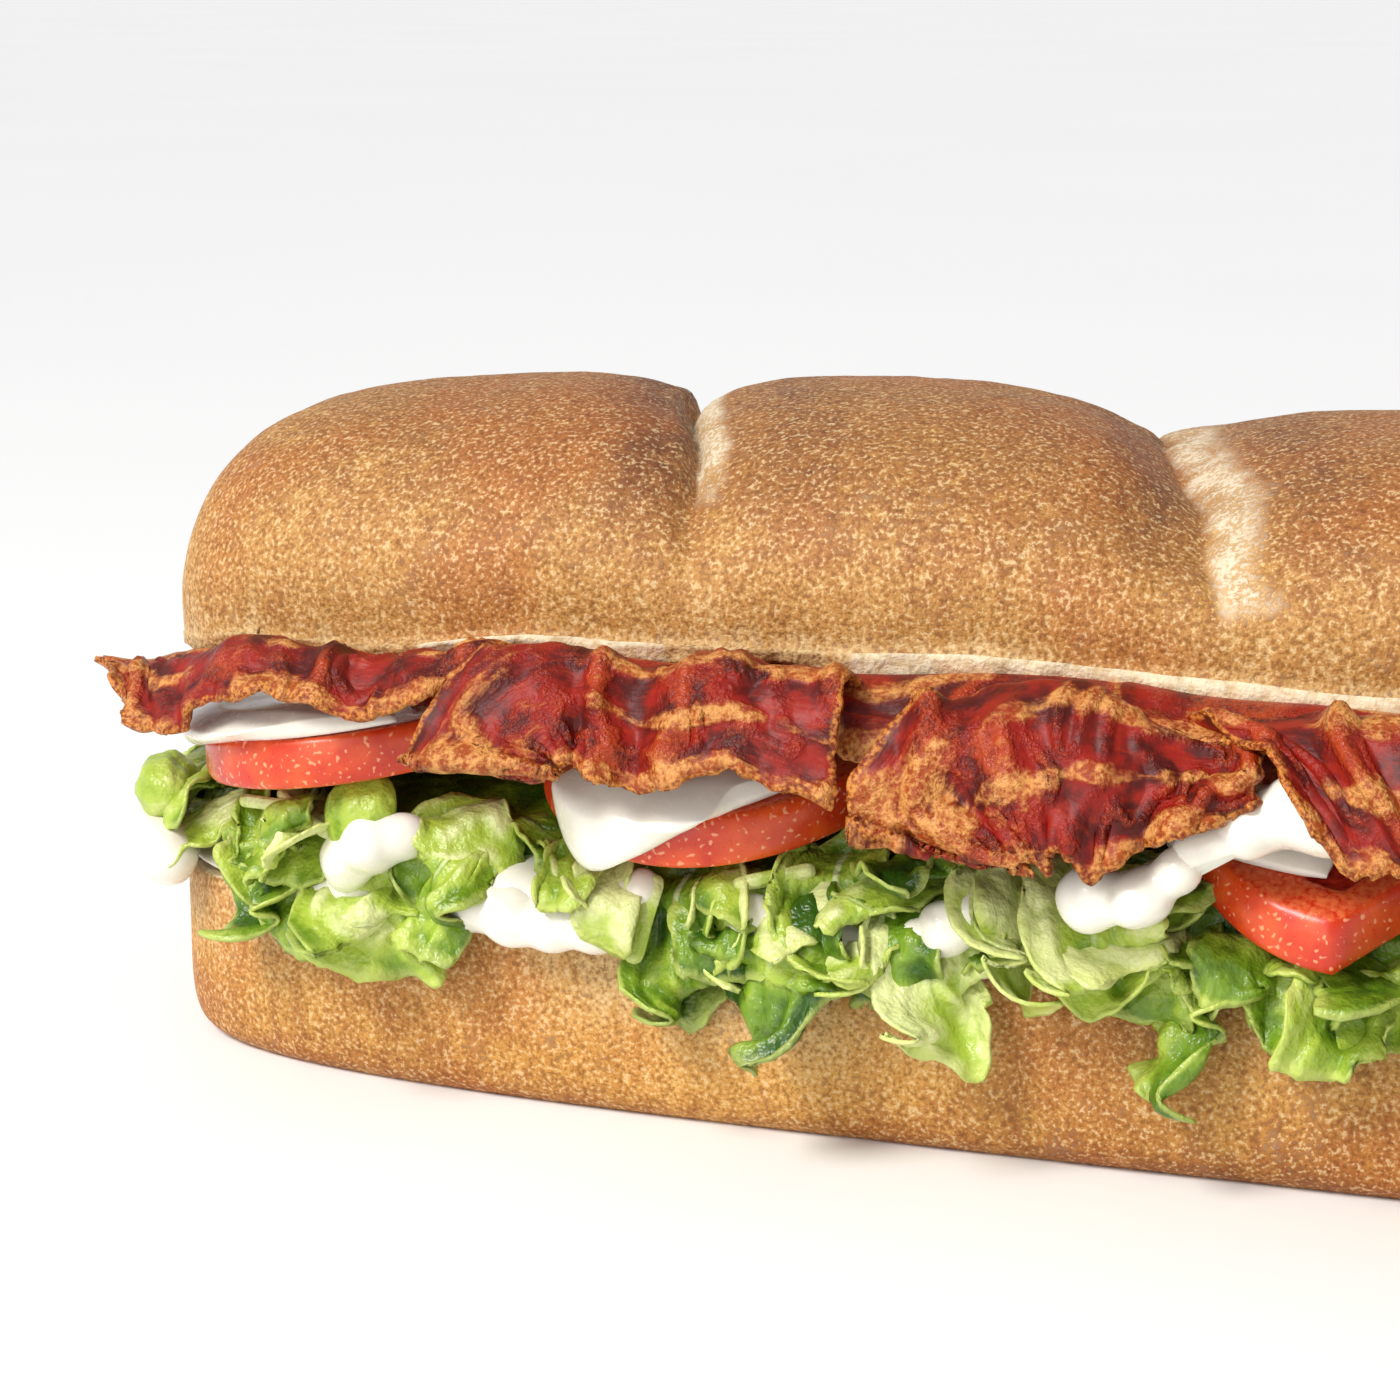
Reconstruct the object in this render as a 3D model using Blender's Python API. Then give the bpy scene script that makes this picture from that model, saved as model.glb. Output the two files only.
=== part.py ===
"""A long bacon, lettuce and tomato sandwich in a scored bread roll.

Lengths are in millimetres until a mesh is made. The roll lies along X, the side seen first faces -Y,
and the origin is the middle of the flat base. Every filling is laid out along the -Y side, and the
+Y side is the same layout turned half round Z, so the two sides never meet in the middle.
"""

import math

import bpy
import numpy as np

MM = 0.001

# The roll
ROLL_LENGTH = 300.0
ROLL_WIDTH = 78.0
HEIGHT = 83.0
PLAN_POWER = 4.4  # superellipse power of the outline seen from above
HALF_LENGTH = ROLL_LENGTH / 2
HALF_WIDTH = ROLL_WIDTH / 2

# The bottom half
CUT_HEIGHT = 22.0
BASE_DEPTH = 23.6  # the section is this deep, and the flat base cuts it off at Z 0
BASE_POWER = 8.0
BASE_END_POWER = 13.0

# The top half, with its four diagonal scores
DOME_POWER = 2.35
DOME_END_POWER = 4.5
CRUST_EDGE = 57.0
LIP_SHARE = 0.96  # the crumb's edge stands this share of the half width out, inside the crust
LIP_HEIGHT = 54.9
LIP_DROP = 2.2  # the crumb's edge hangs this much lower along the middle
CRUMB_SHARE = 0.36
CRUMB_HEIGHT = 54.4
SCORES = (  # place along X, depth, width, and how much steeper the -X wall is
    (-87.0, 3.9, 4.6, 1.7),
    (-28.5, 5.2, 7.6, 0.9),
    (29.0, 4.4, 6.0, 1.4),
    (87.0, 4.4, 5.0, 1.2),
)
SCORE_SKEW = -0.3  # how far a score runs along X for each millimetre across
NEAR_SCORE = 10.5  # cross-sections stand close together this far either side of a score
SWELL_DIP = 1.4  # a broad dip round each score
SWELL_SPAN = 17.0
LOW_MIDDLE = 2.2  # the middle swelling stands lower than the others
TUCK = 0.035
END_GAP = 0.25  # the last cross-section stands this far inside the end

# The fillings
GAP = 0.35
SIDE_GAP = 0.6
TOMATO_THICK = 6.0
BEND_START = 8.0  # from the centre line, where a slice starts to droop
BEND_SPAN = 38.0
BACON_THICK = 1.5
SAUCE_LAYER = 2.0
LEAF_THICK = 1.1
LEAF_BURIED = 9.0  # a leaf starts this far inside the outline
LEAF_REACH = 12.0  # and runs level this far before it hangs
CORE_BASE = 25.9
CORE_ROOF = 38.6
CORE_INSET = 4.0

# Bacon lies on one draped surface: distance along it, then Y and Z of the -Y side
DRAPE_Q = (0.0, 24.0, 30.5, 35.0, 39.0, 43.0, 48.0, 56.0)
DRAPE_Y = (-12.0, -36.0, -41.6, -45.6, -49.0, -51.0, -52.2, -53.0)
DRAPE_Z = (52.2, 52.2, 54.6, 55.4, 53.0, 49.2, 43.9, 35.9)

# Slices of tomato: name, centre X and Y, height of the middle, radius, droop of the rim, rise along X,
# distance of a straight cut from the centre and the angle it faces
UNCUT = 99.0
TOMATOES = (
    ("a", -120.5, -22.5, 41.8, 21.0, 0.5, 0.15, UNCUT, 0.0),
    ("b", -75.5, -24.5, 43.0, 21.3, 7.0, 0.0, UNCUT, 0.0),
    ("c", 0.0, -25.0, 43.0, 21.5, 12.0, -0.03, 14.1, 315.0),
    ("d", 42.0, -24.0, 43.0, 18.5, 6.0, 0.04, UNCUT, 0.0),
    ("e", 82.5, -24.5, 43.0, 20.5, 8.0, 0.0, UNCUT, 0.0),
    ("f", 124.0, -22.0, 42.3, 19.5, 3.0, -0.12, UNCUT, 0.0),
)

# Half a section of a slice, from below round the rim: share of the radius, share of half the thickness
TOMATO_PROFILE = ((0.55, -1.0), (0.95, -1.0), (1.0, 0.0), (0.95, 1.0), (0.55, 1.0))

# Dollops on the tomatoes: slice, first and last angle, how far in, how far over the rim at the first
# and at the last angle, thickness
DOLLOPS = (
    ("a", 146.0, 300.0, 13.0, 9.0, -1.5, 2.4),
    ("b", 222.0, 312.0, 13.0, 14.0, -3.5, 2.4),
    ("c", 182.0, 266.0, 12.0, 15.0, -6.0, 2.6),
    ("e", 215.0, 320.0, 13.0, 3.0, 6.0, 2.4),
)

# Bacon strips over the -Y side: name, kind, first and last X, first and last distance along the drape
BACON = (
    ("1", "left_tip", -157.0, -103.0, 24.0, 43.0),
    ("2", "fan", -105.5, -54.5, 30.5, 50.0),
    ("3", "fan", -52.5, -10.0, 30.5, 51.0),
    ("4", "slanted", -20.5, 38.0, 29.5, 49.0),
    ("5", "fan", 40.5, 88.0, 30.5, 51.0),
    ("6", "right_tip", 91.0, 149.0, 25.0, 45.0),
    ("7", "inner", -85.0, -34.0, 12.0, 37.0),
    ("8", "inner", -5.0, 27.0, 12.0, 36.0),
    ("9", "inner", 30.0, 77.0, 12.0, 36.0),
)

# How each kind of strip starts and ends: how far its lower edge runs on along X at the first and last end
STRIP_SLANTS = {
    "left_tip": (8.0, -5.0),
    "right_tip": (2.0, -4.0),
    "slanted": (18.0, 0.0),
    "inner": (-3.0, 0.0),
}

# How far the lower edge of the bacon stands out along the drape, by place along X
RAGGED = (
    (-158, 0), (-143, 2.0), (-132, -2.5), (-120, -3.0), (-111, 0), (-102, 0.5), (-97, -2.5),
    (-87, 1.5), (-77, 1.8), (-66, -4.5), (-54, 0), (-43, 1.5), (-37, 0), (-26, 1.0),
    (-20, -3.0), (-9, -8.0), (0, 0.5), (14, 1.5), (26, -1.5), (38, 1.0), (64, -2),
)
INNER_LEVEL = -3.3
INNER_GAP = (-53.0, 7.0)  # middle and half width of the gap between the second and the third strip
INNER_HANG = 7.0  # in it, the strip behind hangs this much lower
TUCKED = -1.9  # the right end of the third strip lies this far under the fourth
LOW_DRAPE = 1.8  # from the third strip on to +X, the bacon hangs this much lower

# Leaves over the -Y side: place along the outline, height of the tip, width, lean, level
LEAVES = (
    (-148.0, 29.0, 13.0, 0.0, 1.0),
    (-127.5, 15.5, 12.0, -0.5, 0.0),
    (-115.0, 13.6, 14.5, 0.1, 1.0),
    (-103.0, 20.0, 8.0, -0.35, 0.0),
    (-79.0, 12.5, 11.0, -0.1, 0.0),
    (-68.0, 11.5, 13.0, 0.05, 1.0),
    (-57.5, 21.0, 13.0, 0.15, 0.0),
    (-46.0, 12.5, 12.5, 0.25, 1.0),
    (-36.5, 19.0, 9.0, 0.1, 0.0),
    (-27.0, 20.5, 14.0, 0.1, 1.0),
    (-14.0, 11.0, 10.0, -0.4, 0.0),
    (-2.0, 17.5, 17.0, 0.1, 1.0),
    (14.5, 13.0, 13.0, -0.2, 0.0),
    (36.0, 17.5, 15.0, 0.25, 1.0),
    (56.0, 12.0, 14.0, -0.15, 0.0),
    (77.0, 16.0, 15.0, 0.2, 1.0),
    (101.0, 13.0, 14.0, -0.2, 0.0),
    (122.0, 17.5, 15.0, 0.25, 1.0),
    (143.0, 15.0, 13.0, -0.1, 0.0),
)

# Sauce that swells out from under the lettuce on the -Y side: place along the outline, half width, swell
LOBES = (
    (-152.0, 6.0, 1.0),
    (-120.0, 7.0, 1.0),
    (-94.0, 11.0, 1.0),
    (-66.0, 4.5, 0.9),
    (-48.0, 9.0, 1.0),
    (31.0, 6.5, 1.0),
    (57.0, 6.0, 0.8),
    (92.0, 8.0, 0.9),
    (129.0, 6.0, 0.8),
)


# Curves and small helpers


def smoothstep(low, high, x):
    """0 below low, 1 above high, and a smooth S between."""
    t = np.clip((np.asarray(x, float) - low) / (high - low), 0.0, 1.0)
    return t * t * (3.0 - 2.0 * t)


def power(x, exponent):
    """|x| to the exponent, with the sign of x."""
    return np.sign(x) * np.abs(x) ** exponent


def through(knots, values, x):
    """A smooth curve through the knots: cubic Hermite with slopes from the neighbours."""
    knots, values = np.array(knots), np.array(values)
    slopes = np.gradient(values, knots)
    x = np.clip(x, knots[0], knots[-1])
    i = np.clip(np.searchsorted(knots, x, side="right") - 1, 0, len(knots) - 2)
    span = knots[i + 1] - knots[i]
    t = (x - knots[i]) / span
    return (
        values[i] * (1 + 2 * t) * (1 - t) ** 2
        + slopes[i] * span * t * (1 - t) ** 2
        + values[i + 1] * t * t * (3 - 2 * t)
        - slopes[i + 1] * span * t * t * (1 - t)
    )


def ripple(x, y, seed, scale):
    """A sum of five waves in seeded directions, about -1 to 1, with wavelengths near scale."""
    draw = np.random.RandomState(seed)
    total = 0.0
    for _ in range(5):
        turn, phase = draw.uniform(0, 2 * math.pi, 2)
        wave = 2 * math.pi / (scale * draw.uniform(0.7, 1.5))
        total = total + np.sin(wave * (x * math.cos(turn) + y * math.sin(turn)) + phase)
    return total / 2.8


def side_name(side):
    return "front" if side < 0 else "back"


def half_width_at(x):
    """Half the roll's width in plan, which closes to nothing at both ends."""
    return HALF_WIDTH * (1 - np.abs(x / HALF_LENGTH) ** PLAN_POWER) ** (1 / PLAN_POWER)


def outline_table():
    """Fine points of the roll's plan outline, with their distance along it from the middle of the -Y side."""
    turn = np.linspace(-math.pi, math.pi, 2401)
    x = HALF_LENGTH * power(np.sin(turn), 2 / PLAN_POWER)
    y = HALF_WIDTH * power(-np.cos(turn), 2 / PLAN_POWER)
    run = np.concatenate([[0.0], np.cumsum(np.hypot(np.diff(x), np.diff(y)))])
    return x, y, run - run[len(run) // 2]


def outline_length():
    run = outline_table()[2]
    return run[-1] - run[0]


def outline(p, out):
    """X and Y of the point at distance p along the outline, moved outwards by out."""
    x, y, run = outline_table()
    dx, dy = np.gradient(x), np.gradient(y)
    size = np.hypot(dx, dy) + 1e-9
    nx, ny = np.interp(p, run, dy / size), np.interp(p, run, -dx / size)
    unit = np.hypot(nx, ny)
    return np.interp(p, run, x) + nx / unit * out, np.interp(p, run, y) + ny / unit * out


# Closed meshes


def material(name, colour, roughness):
    made = bpy.data.materials.new(name)
    made.use_nodes = True
    shader = made.node_tree.nodes["Principled BSDF"]
    shader.inputs["Base Color"].default_value = (*colour, 1.0)
    shader.inputs["Roughness"].default_value = roughness
    shader.inputs["Metallic"].default_value = 0.0
    return made


def add_solid(name, points, faces, finish):
    """One named object from points in millimetres."""
    mesh = bpy.data.meshes.new(name)
    mesh.from_pydata((np.asarray(points) * MM).tolist(), [], faces)
    mesh.materials.append(finish)
    mesh.shade_smooth()
    mesh.set_sharp_from_angle(angle=math.radians(50))
    solid = bpy.data.objects.new(name, mesh)
    bpy.context.scene.collection.objects.link(solid)
    return solid


def half_turned(points):
    """The same points turned half round Z, for the +Y side."""
    return np.asarray(points) * (-1, -1, 1)


def ring_faces(rings, sides):
    """Quads between closed rings of points, split into triangles, and a fan to a point at each end."""
    faces = []
    for i in range(rings - 1):
        for j in range(sides):
            a, b = i * sides + j, i * sides + (j + 1) % sides
            faces += [(a, a + sides, b + sides), (a, b + sides, b)]
    first, last = rings * sides, rings * sides + 1
    base = (rings - 1) * sides
    for j in range(sides):
        faces.append((first, j, (j + 1) % sides))
        faces.append((last, base + (j + 1) % sides, base + j))
    return faces


def rings_solid(rings):
    """Points and faces of a body whose rings run along +X and turn from -Y over +Z to +Y and back."""
    rings = np.asarray(rings)
    points = np.concatenate([rings.reshape(-1, 3), [rings[0].mean(0)], [rings[-1].mean(0)]])
    return points, ring_faces(len(rings), rings.shape[1])


def slab_solid(upper, lower):
    """Points and faces of a thin body from two grids alike: rows run along the first index and columns along
    the second, so that row direction x column direction points from lower to upper."""
    rows, columns = upper.shape[:2]
    count = rows * columns
    faces = []
    for i in range(rows - 1):
        for j in range(columns - 1):
            a, b = i * columns + j, i * columns + j + 1
            c, d = b + columns, a + columns
            faces += [(a, d, c), (a, c, b)]
            faces += [(a + count, c + count, d + count), (a + count, b + count, c + count)]
    edge = [j for j in range(columns)]
    edge += [i * columns + columns - 1 for i in range(1, rows)]
    edge += [(rows - 1) * columns + j for j in range(columns - 2, -1, -1)]
    edge += [i * columns for i in range(rows - 2, 0, -1)]
    for k, a in enumerate(edge):
        b = edge[(k + 1) % len(edge)]
        faces += [(a, b, b + count), (a, b + count, a + count)]
    return np.concatenate([upper.reshape(-1, 3), lower.reshape(-1, 3)]), faces


def normals_of(grid):
    """Unit normals of a grid of points, row direction x column direction."""
    along = np.gradient(grid, axis=0)
    across = np.gradient(grid, axis=1)
    normal = np.cross(along, across)
    return normal / np.maximum(np.linalg.norm(normal, axis=2, keepdims=True), 1e-9)


# The two halves of the roll


def stations(count_at_score=7):
    """Places of the cross-sections along X: close together at the scores and towards both ends."""
    near = NEAR_SCORE * power(np.linspace(-1, 1, count_at_score), 1.4)
    middles = [score[0] for score in SCORES]
    places = [middle + away for middle in middles for away in near]
    places += [(a + b) / 2 for a, b in zip(middles[:-1], middles[1:])]
    last = HALF_LENGTH - END_GAP
    ends = last - (last - 104.0) * np.linspace(0.0, 1.0, 9)[:-1] ** 1.9
    return np.array(sorted(places + list(ends) + list(-ends)))


def crust_edge(x, side):
    """Height of the top crust's lower edge, where side is -1 at -Y and +1 at +Y."""
    t = -side * x  # the +Y side is the -Y side turned half round
    low_end = 3.4 * smoothstep(-92, -120, t) + 3.0 * smoothstep(-132, -150, t)
    return CRUST_EDGE - low_end + 1.2 * np.exp(-(((t + 42) / 24) ** 2)) - 0.4 * smoothstep(-15, 0, t)


def lip_drop(x, side):
    """How far the crumb's edge hangs below its usual place: most along the middle of each side."""
    t = -side * x
    return LIP_DROP * smoothstep(-34, -12, t) * smoothstep(86, 72, t)


def score_depth(x, y, lift):
    """How far the scores press the dome in; lift is 0 at the crust's edge and 1 on top."""
    total = 0.0
    for place, depth, width, steep in SCORES:
        away = x - place - SCORE_SKEW * y
        away = np.where(away < 0, -away * steep, away)
        total = total + depth * np.exp(-((away / width) ** 1.2))
        total = total + SWELL_DIP * np.exp(-((away / SWELL_SPAN) ** 2))
    return total * smoothstep(0.1, 0.75, lift)


def skewed(t, y):
    """X of a point of the cross-section at t: the sections run along the scores, and square at the ends."""
    return t + SCORE_SKEW * y * (1 - np.abs(t / HALF_LENGTH) ** 6)


def top_ring(t, crust_points=13):
    """One cross-section of the top half: the crust from -Y over the dome to +Y, then the crumb below."""
    turn = np.linspace(0.0, math.pi, crust_points)
    lift = np.abs(np.sin(turn)) ** (2 / DOME_POWER)
    across = -power(np.cos(turn), 2 / DOME_POWER)
    half = half_width_at(t)
    rise = (1 - np.abs(t / HALF_LENGTH) ** DOME_END_POWER) ** (1 / DOME_END_POWER)
    y = half * across * (1 - TUCK * (1 - smoothstep(0.0, 0.4, lift)))
    x = skewed(t, y)
    share = (1 + across) / 2
    edge = crust_edge(x, -1) * (1 - share) + crust_edge(x, 1) * share
    press = score_depth(x, y, lift) * rise
    z = edge + (HEIGHT - edge) * lift * rise
    z = z - (press + LOW_MIDDLE * smoothstep(34, 22, np.abs(x))) * lift
    z = z + 0.5 * ripple(x, y, 3, 40) * lift * rise
    y = y * (1 - 0.02 * press * (1 - lift) - 0.006 * press)
    crust = np.stack([x, y, np.minimum(z, HEIGHT)], 1)
    across = np.array([LIP_SHARE, CRUMB_SHARE, -CRUMB_SHARE, -LIP_SHARE])
    x, share = skewed(t, half * across), (1 + across) / 2
    edge = crust_edge(x, -1) * (1 - share) + crust_edge(x, 1) * share
    z = edge - CRUST_EDGE + np.array([LIP_HEIGHT, CRUMB_HEIGHT, CRUMB_HEIGHT, LIP_HEIGHT])
    z[0] -= lip_drop(x[0], -1)
    z[-1] -= lip_drop(x[-1], 1)
    crumb = np.stack([x, half * across, z], 1)
    return np.concatenate([crust, crumb])


def bottom_ring(t, crust_points=11):
    """One cross-section of the bottom half: the cut face from -Y to +Y, then the crust under it."""
    half = half_width_at(t)
    rise = (1 - np.abs(t / HALF_LENGTH) ** BASE_END_POWER) ** (1 / BASE_END_POWER)
    share = np.array([-0.93, -0.4, 0.4, 0.93])
    cut = np.stack([t + 0 * share, half * share, CUT_HEIGHT + 0 * share], 1)
    turn = np.linspace(0.0, math.pi, crust_points)
    across = power(np.cos(turn), 2 / BASE_POWER)
    depth = np.sin(turn) ** (2 / BASE_POWER)
    z = CUT_HEIGHT - 0.8 - (BASE_DEPTH - 0.8) * depth * rise
    crust = np.stack([t + 0 * turn, half * across, np.maximum(z, 0.0)], 1)
    return np.concatenate([cut, crust])


def make_roll(crust):
    top = [top_ring(t) for t in stations()]
    add_solid("bread_top", *rings_solid(top), crust)
    places = HALF_LENGTH * np.sin(np.linspace(-1, 1, 25) * math.pi / 2 * 0.965)
    places[0], places[-1] = -HALF_LENGTH + END_GAP, HALF_LENGTH - END_GAP
    add_solid("bread_bottom", *rings_solid([bottom_ring(t) for t in places]), crust)


# Tomato


def droop_of(y, droop):
    """How far a slice sinks below its middle height at Y, on the -Y side."""
    s = np.clip((-y - BEND_START) / BEND_SPAN, 0.0, 1.3)
    return droop * s * s


def tomato_point(slice_, angle, radius, height):
    """A point of a slice: angle in radians from +X, distance from its centre, height above its mid-plane."""
    _, cx, cy, middle, _, droop, rise, _, _ = slice_
    x, y = cx + radius * np.cos(angle), cy + radius * np.sin(angle)
    return np.stack([x, y, middle + height - droop_of(y, droop) + rise * (x - cx)], -1)


def tomato_radius(slice_, angle):
    """Distance of the rim from the centre: a little uneven, and shorter where the straight cut is."""
    uneven = slice_[4] * (1 + 0.015 * np.sin(2 * angle + slice_[1]) + 0.01 * np.sin(3 * angle))
    facing = np.cos(angle - math.radians(slice_[8]))
    return np.where(facing > 0.01, np.minimum(uneven, slice_[7] / np.maximum(facing, 0.01)), uneven)


def tomato_angles(slice_, steps=16):
    """Angles round a slice in radians, with one at each end of its straight cut."""
    if slice_[7] == UNCUT:
        return np.linspace(0, 2 * math.pi, steps, endpoint=False)
    facing, half = math.radians(slice_[8]), math.acos(slice_[7] / slice_[4])
    kept = np.linspace(facing + half, facing + 2 * math.pi - half, steps - 3)
    return np.concatenate([kept, facing + half * np.array([-0.5, 0.0, 0.5])])


def make_tomato(slice_, side, finish):
    """A disc with a rounded rim."""
    half = TOMATO_THICK / 2
    angle = tomato_angles(slice_)
    rim = tomato_radius(slice_, angle)
    rows = [tomato_point(slice_, angle, rim * share, half * up) for share, up in TOMATO_PROFILE]
    middle = [tomato_point(slice_, 0.0, 0.0, -half), tomato_point(slice_, 0.0, 0.0, half)]
    points = np.concatenate([*rows, middle])
    points = points if side < 0 else half_turned(points)
    faces = [face[::-1] for face in ring_faces(len(rows), len(angle))]
    add_solid(f"tomato_{slice_[0]}_{side_name(side)}", points, faces, finish)


# Sauce


def make_dollop(dollop, side, finish):
    """A patch laid over a slice of tomato and its rim, thick in the middle and thin at its edge."""
    name, first, last, inwards, over_first, over_last, thick = dollop
    slice_ = next(s for s in TOMATOES if s[0] == name)
    u = np.linspace(0, 1, 8)[:, None]
    v = np.array([0.0, 0.35, 0.7, 0.85, 1.0])[None, :]
    angle = np.radians(first + (last - first) * u + 0 * v)
    reach = np.sin(math.pi * (0.06 + 0.88 * u)) ** 0.6
    over = over_first * (1 - u) ** 2 + over_last * u
    inside = -inwards * (1 - v / 0.7) * reach + np.minimum(over, 0.0)
    outside = np.maximum(over, 0.0) * (v - 0.7) / 0.3 * reach + np.minimum(over, 0.0) * (1 - (v - 0.7))
    run = np.where(v <= 0.7, inside, outside)
    dome = thick * np.sqrt(np.sin(math.pi * (0.04 + 0.92 * u)) * np.sin(math.pi * (0.06 + 0.88 * v))) + 0.3
    outwards = smoothstep(-1.5, 0.6, run)
    radius = tomato_radius(slice_, angle) + np.minimum(run, 0.0) + SIDE_GAP * (run > -0.5)
    height = TOMATO_THICK / 2 + GAP - np.maximum(run, 0.0)
    lower = tomato_point(slice_, angle, radius, height)
    upper = tomato_point(slice_, angle, radius + outwards * dome, height + dome * (1 - 0.7 * outwards))
    points, faces = slab_solid(upper, lower)
    faces = [face[::-1] for face in faces]
    points = points if side < 0 else half_turned(points)
    add_solid(f"mayonnaise_{name}_{side_name(side)}", points, faces, finish)


def swell_at(p):
    """0 to 1: how far the lower sauce swells out at the place p along the outline on the -Y side."""
    total = 0.0
    for place, half, swell in LOBES:
        total = total + swell * np.exp(-(((p - place) / half) ** 4))
    return np.clip(total, 0.0, 1.0)


def make_lower_sauce(finish):
    """One layer on the cut face of the bottom half, with lobes that swell over its edge."""
    count = 54
    half_way = outline_length() / 2
    p = (np.arange(count) + 0.5) / count * 2 * half_way - half_way
    swell = np.where(np.abs(p) < half_way / 2, swell_at(p), swell_at(p - np.sign(p) * half_way))
    low, high = CUT_HEIGHT + GAP, CUT_HEIGHT + GAP + SAUCE_LAYER
    profile = (
        (-6.0 + 0 * swell, low + 0 * swell),
        (-1.2 + 1.6 * swell, low + 0 * swell),
        (-0.6 + 3.6 * swell, low + 0.8 - 2.0 * swell),
        (-0.9 + 4.2 * swell, low + 1.3 + 1.4 * swell),
        (-2.6 + 1.9 * swell, high + 3.3 * swell),
        (-6.0 + 0 * swell, high + 0 * swell),
    )
    rows = []
    for out, z in profile:
        x, y = outline(p, out)
        rows.append(np.stack([x, y, z], 1))
    points = np.concatenate([*rows, [[0.0, 0.0, low]], [[0.0, 0.0, high]]])
    faces = ring_faces(len(rows), count)
    add_solid("mayonnaise_lower", points, [face[::-1] for face in faces], finish)


# Bacon


def bacon_wave(x, q):
    """How far the bacon stands off its drape: small inside, wavy and only outwards where it hangs."""
    ruffle = 0.5 + 0.5 * np.sin(x / 2.5 + 1.1 * np.sin(x / 9.0) + q * 0.12)
    broad = 0.5 + 0.5 * np.sin(x / 5.3 + 0.6)
    inside = 0.3 * np.sin(x / 6.5) * smoothstep(30, 20, q)
    return smoothstep(26, 37, q) * (1.7 * ruffle + 1.5 * broad) + inside


def end_shift(x):
    """How far the drape moves in towards the centre line where the roll narrows to its ends."""
    kept = np.minimum(np.abs(x), 145.0)
    return 0.9 * (HALF_WIDTH - half_width_at(kept)) + 0.35 * (np.abs(x) - kept)


def drape(x, q, level):
    """Points of the bacon's drape over the -Y side, at X and distance q, lifted by level and the wave."""
    y, z = through(DRAPE_Q, DRAPE_Y, q), through(DRAPE_Q, DRAPE_Z, q)
    dy = through(DRAPE_Q, DRAPE_Y, q + 0.5) - through(DRAPE_Q, DRAPE_Y, q - 0.5)
    dz = through(DRAPE_Q, DRAPE_Z, q + 0.5) - through(DRAPE_Q, DRAPE_Z, q - 0.5)
    size = np.hypot(dy, dz)
    out = bacon_wave(x, q) + level
    lower_end = 3.4 * smoothstep(-94, -114, x) + 4.5 * smoothstep(-122, -152, x)
    z = z - lower_end * smoothstep(16, 32, q) - LOW_DRAPE * smoothstep(-34, -16, x) * smoothstep(27, 33, q)
    return np.stack([x, y + out * dz / size + end_shift(x), z - out * dy / size], -1)


def bacon_place(strip, s, v):
    """X and distance along the drape for s along a strip and v across it, both 0 to 1."""
    _, kind, x0, x1, q0, q1 = strip
    middle, half = (q0 + q1) / 2, (q1 - q0) / 2
    if kind == "fan":
        turn_radius = half + 2.0
        xa, qa = x0 + turn_radius + half, q0 + half + turn_radius
        arc = turn_radius * math.pi / 2
        run = s * (arc + x1 - xa)
        turn = np.clip(run / turn_radius, 0.12, math.pi / 2)
        radius = turn_radius + half * (1 - 2 * v)
        x = xa - radius * np.cos(turn) + np.maximum(run - arc, 0)
        q = qa - radius * np.sin(turn)
    else:
        first, last = STRIP_SLANTS[kind]
        x = x0 + (x1 - x0) * s + v * (first * (1 - s) + last * s)
        narrow = 1.0
        if kind == "left_tip":
            narrow = smoothstep(-0.5, 0.3, s)
        if kind == "right_tip":
            narrow = smoothstep(1.4, 0.7, s)
        q = middle + (2 * v - 1) * half * narrow
    if kind == "inner":
        gap, half_gap = INNER_GAP
        q = q + INNER_HANG * np.exp(-(((x - gap) / half_gap) ** 2)) * v * v
    else:
        places, amounts = zip(*RAGGED)
        q = q + np.interp(x, places, amounts) * v * v
    return x, q


def make_bacon(strip, side, finish):
    name, kind = strip[:2]
    rows, columns = (10, 3) if kind == "inner" else (15, 4)
    s = np.linspace(0, 1, rows)[:, None]
    v = np.linspace(0, 1, columns)[None, :]
    x, q = bacon_place(strip, s + 0 * v, v + 0 * s)
    level = INNER_LEVEL if kind == "inner" else 0.0
    if name == "3":
        level = TUCKED * smoothstep(-29, -21, x)
    middle = drape(x, q, level)
    normal = -normals_of(middle)
    upper, lower = middle + normal * BACON_THICK / 2, middle - normal * BACON_THICK / 2
    points, faces = slab_solid(lower, upper)
    points = points if side < 0 else half_turned(points)
    add_solid(f"bacon_{name}_{side_name(side)}", points, faces, finish)


# Lettuce


def lettuce_roof(x, y):
    """Top of the lettuce: it falls towards the long sides, and stays under the slices of tomato."""
    roof = CORE_ROOF - droop_of(-np.abs(y), 10.0) - 4.0 * smoothstep(118, 142, np.abs(x))
    for turned in (1, -1):
        for slice_ in TOMATOES:
            under = tomato_under(slice_, turned * x, turned * y)
            roof = np.minimum(roof, under)
    return roof


def tomato_under(slice_, x, y):
    """Height just under a slice at X and Y, or a large height away from it."""
    _, cx, cy, middle, radius, droop, rise, _, _ = slice_
    under = middle - TOMATO_THICK / 2 - droop_of(y, droop) + rise * (x - cx) - 1.0
    near = np.hypot(x - cx, y - cy)
    return np.where(near < radius + 4.0, under, 99.0)


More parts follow.
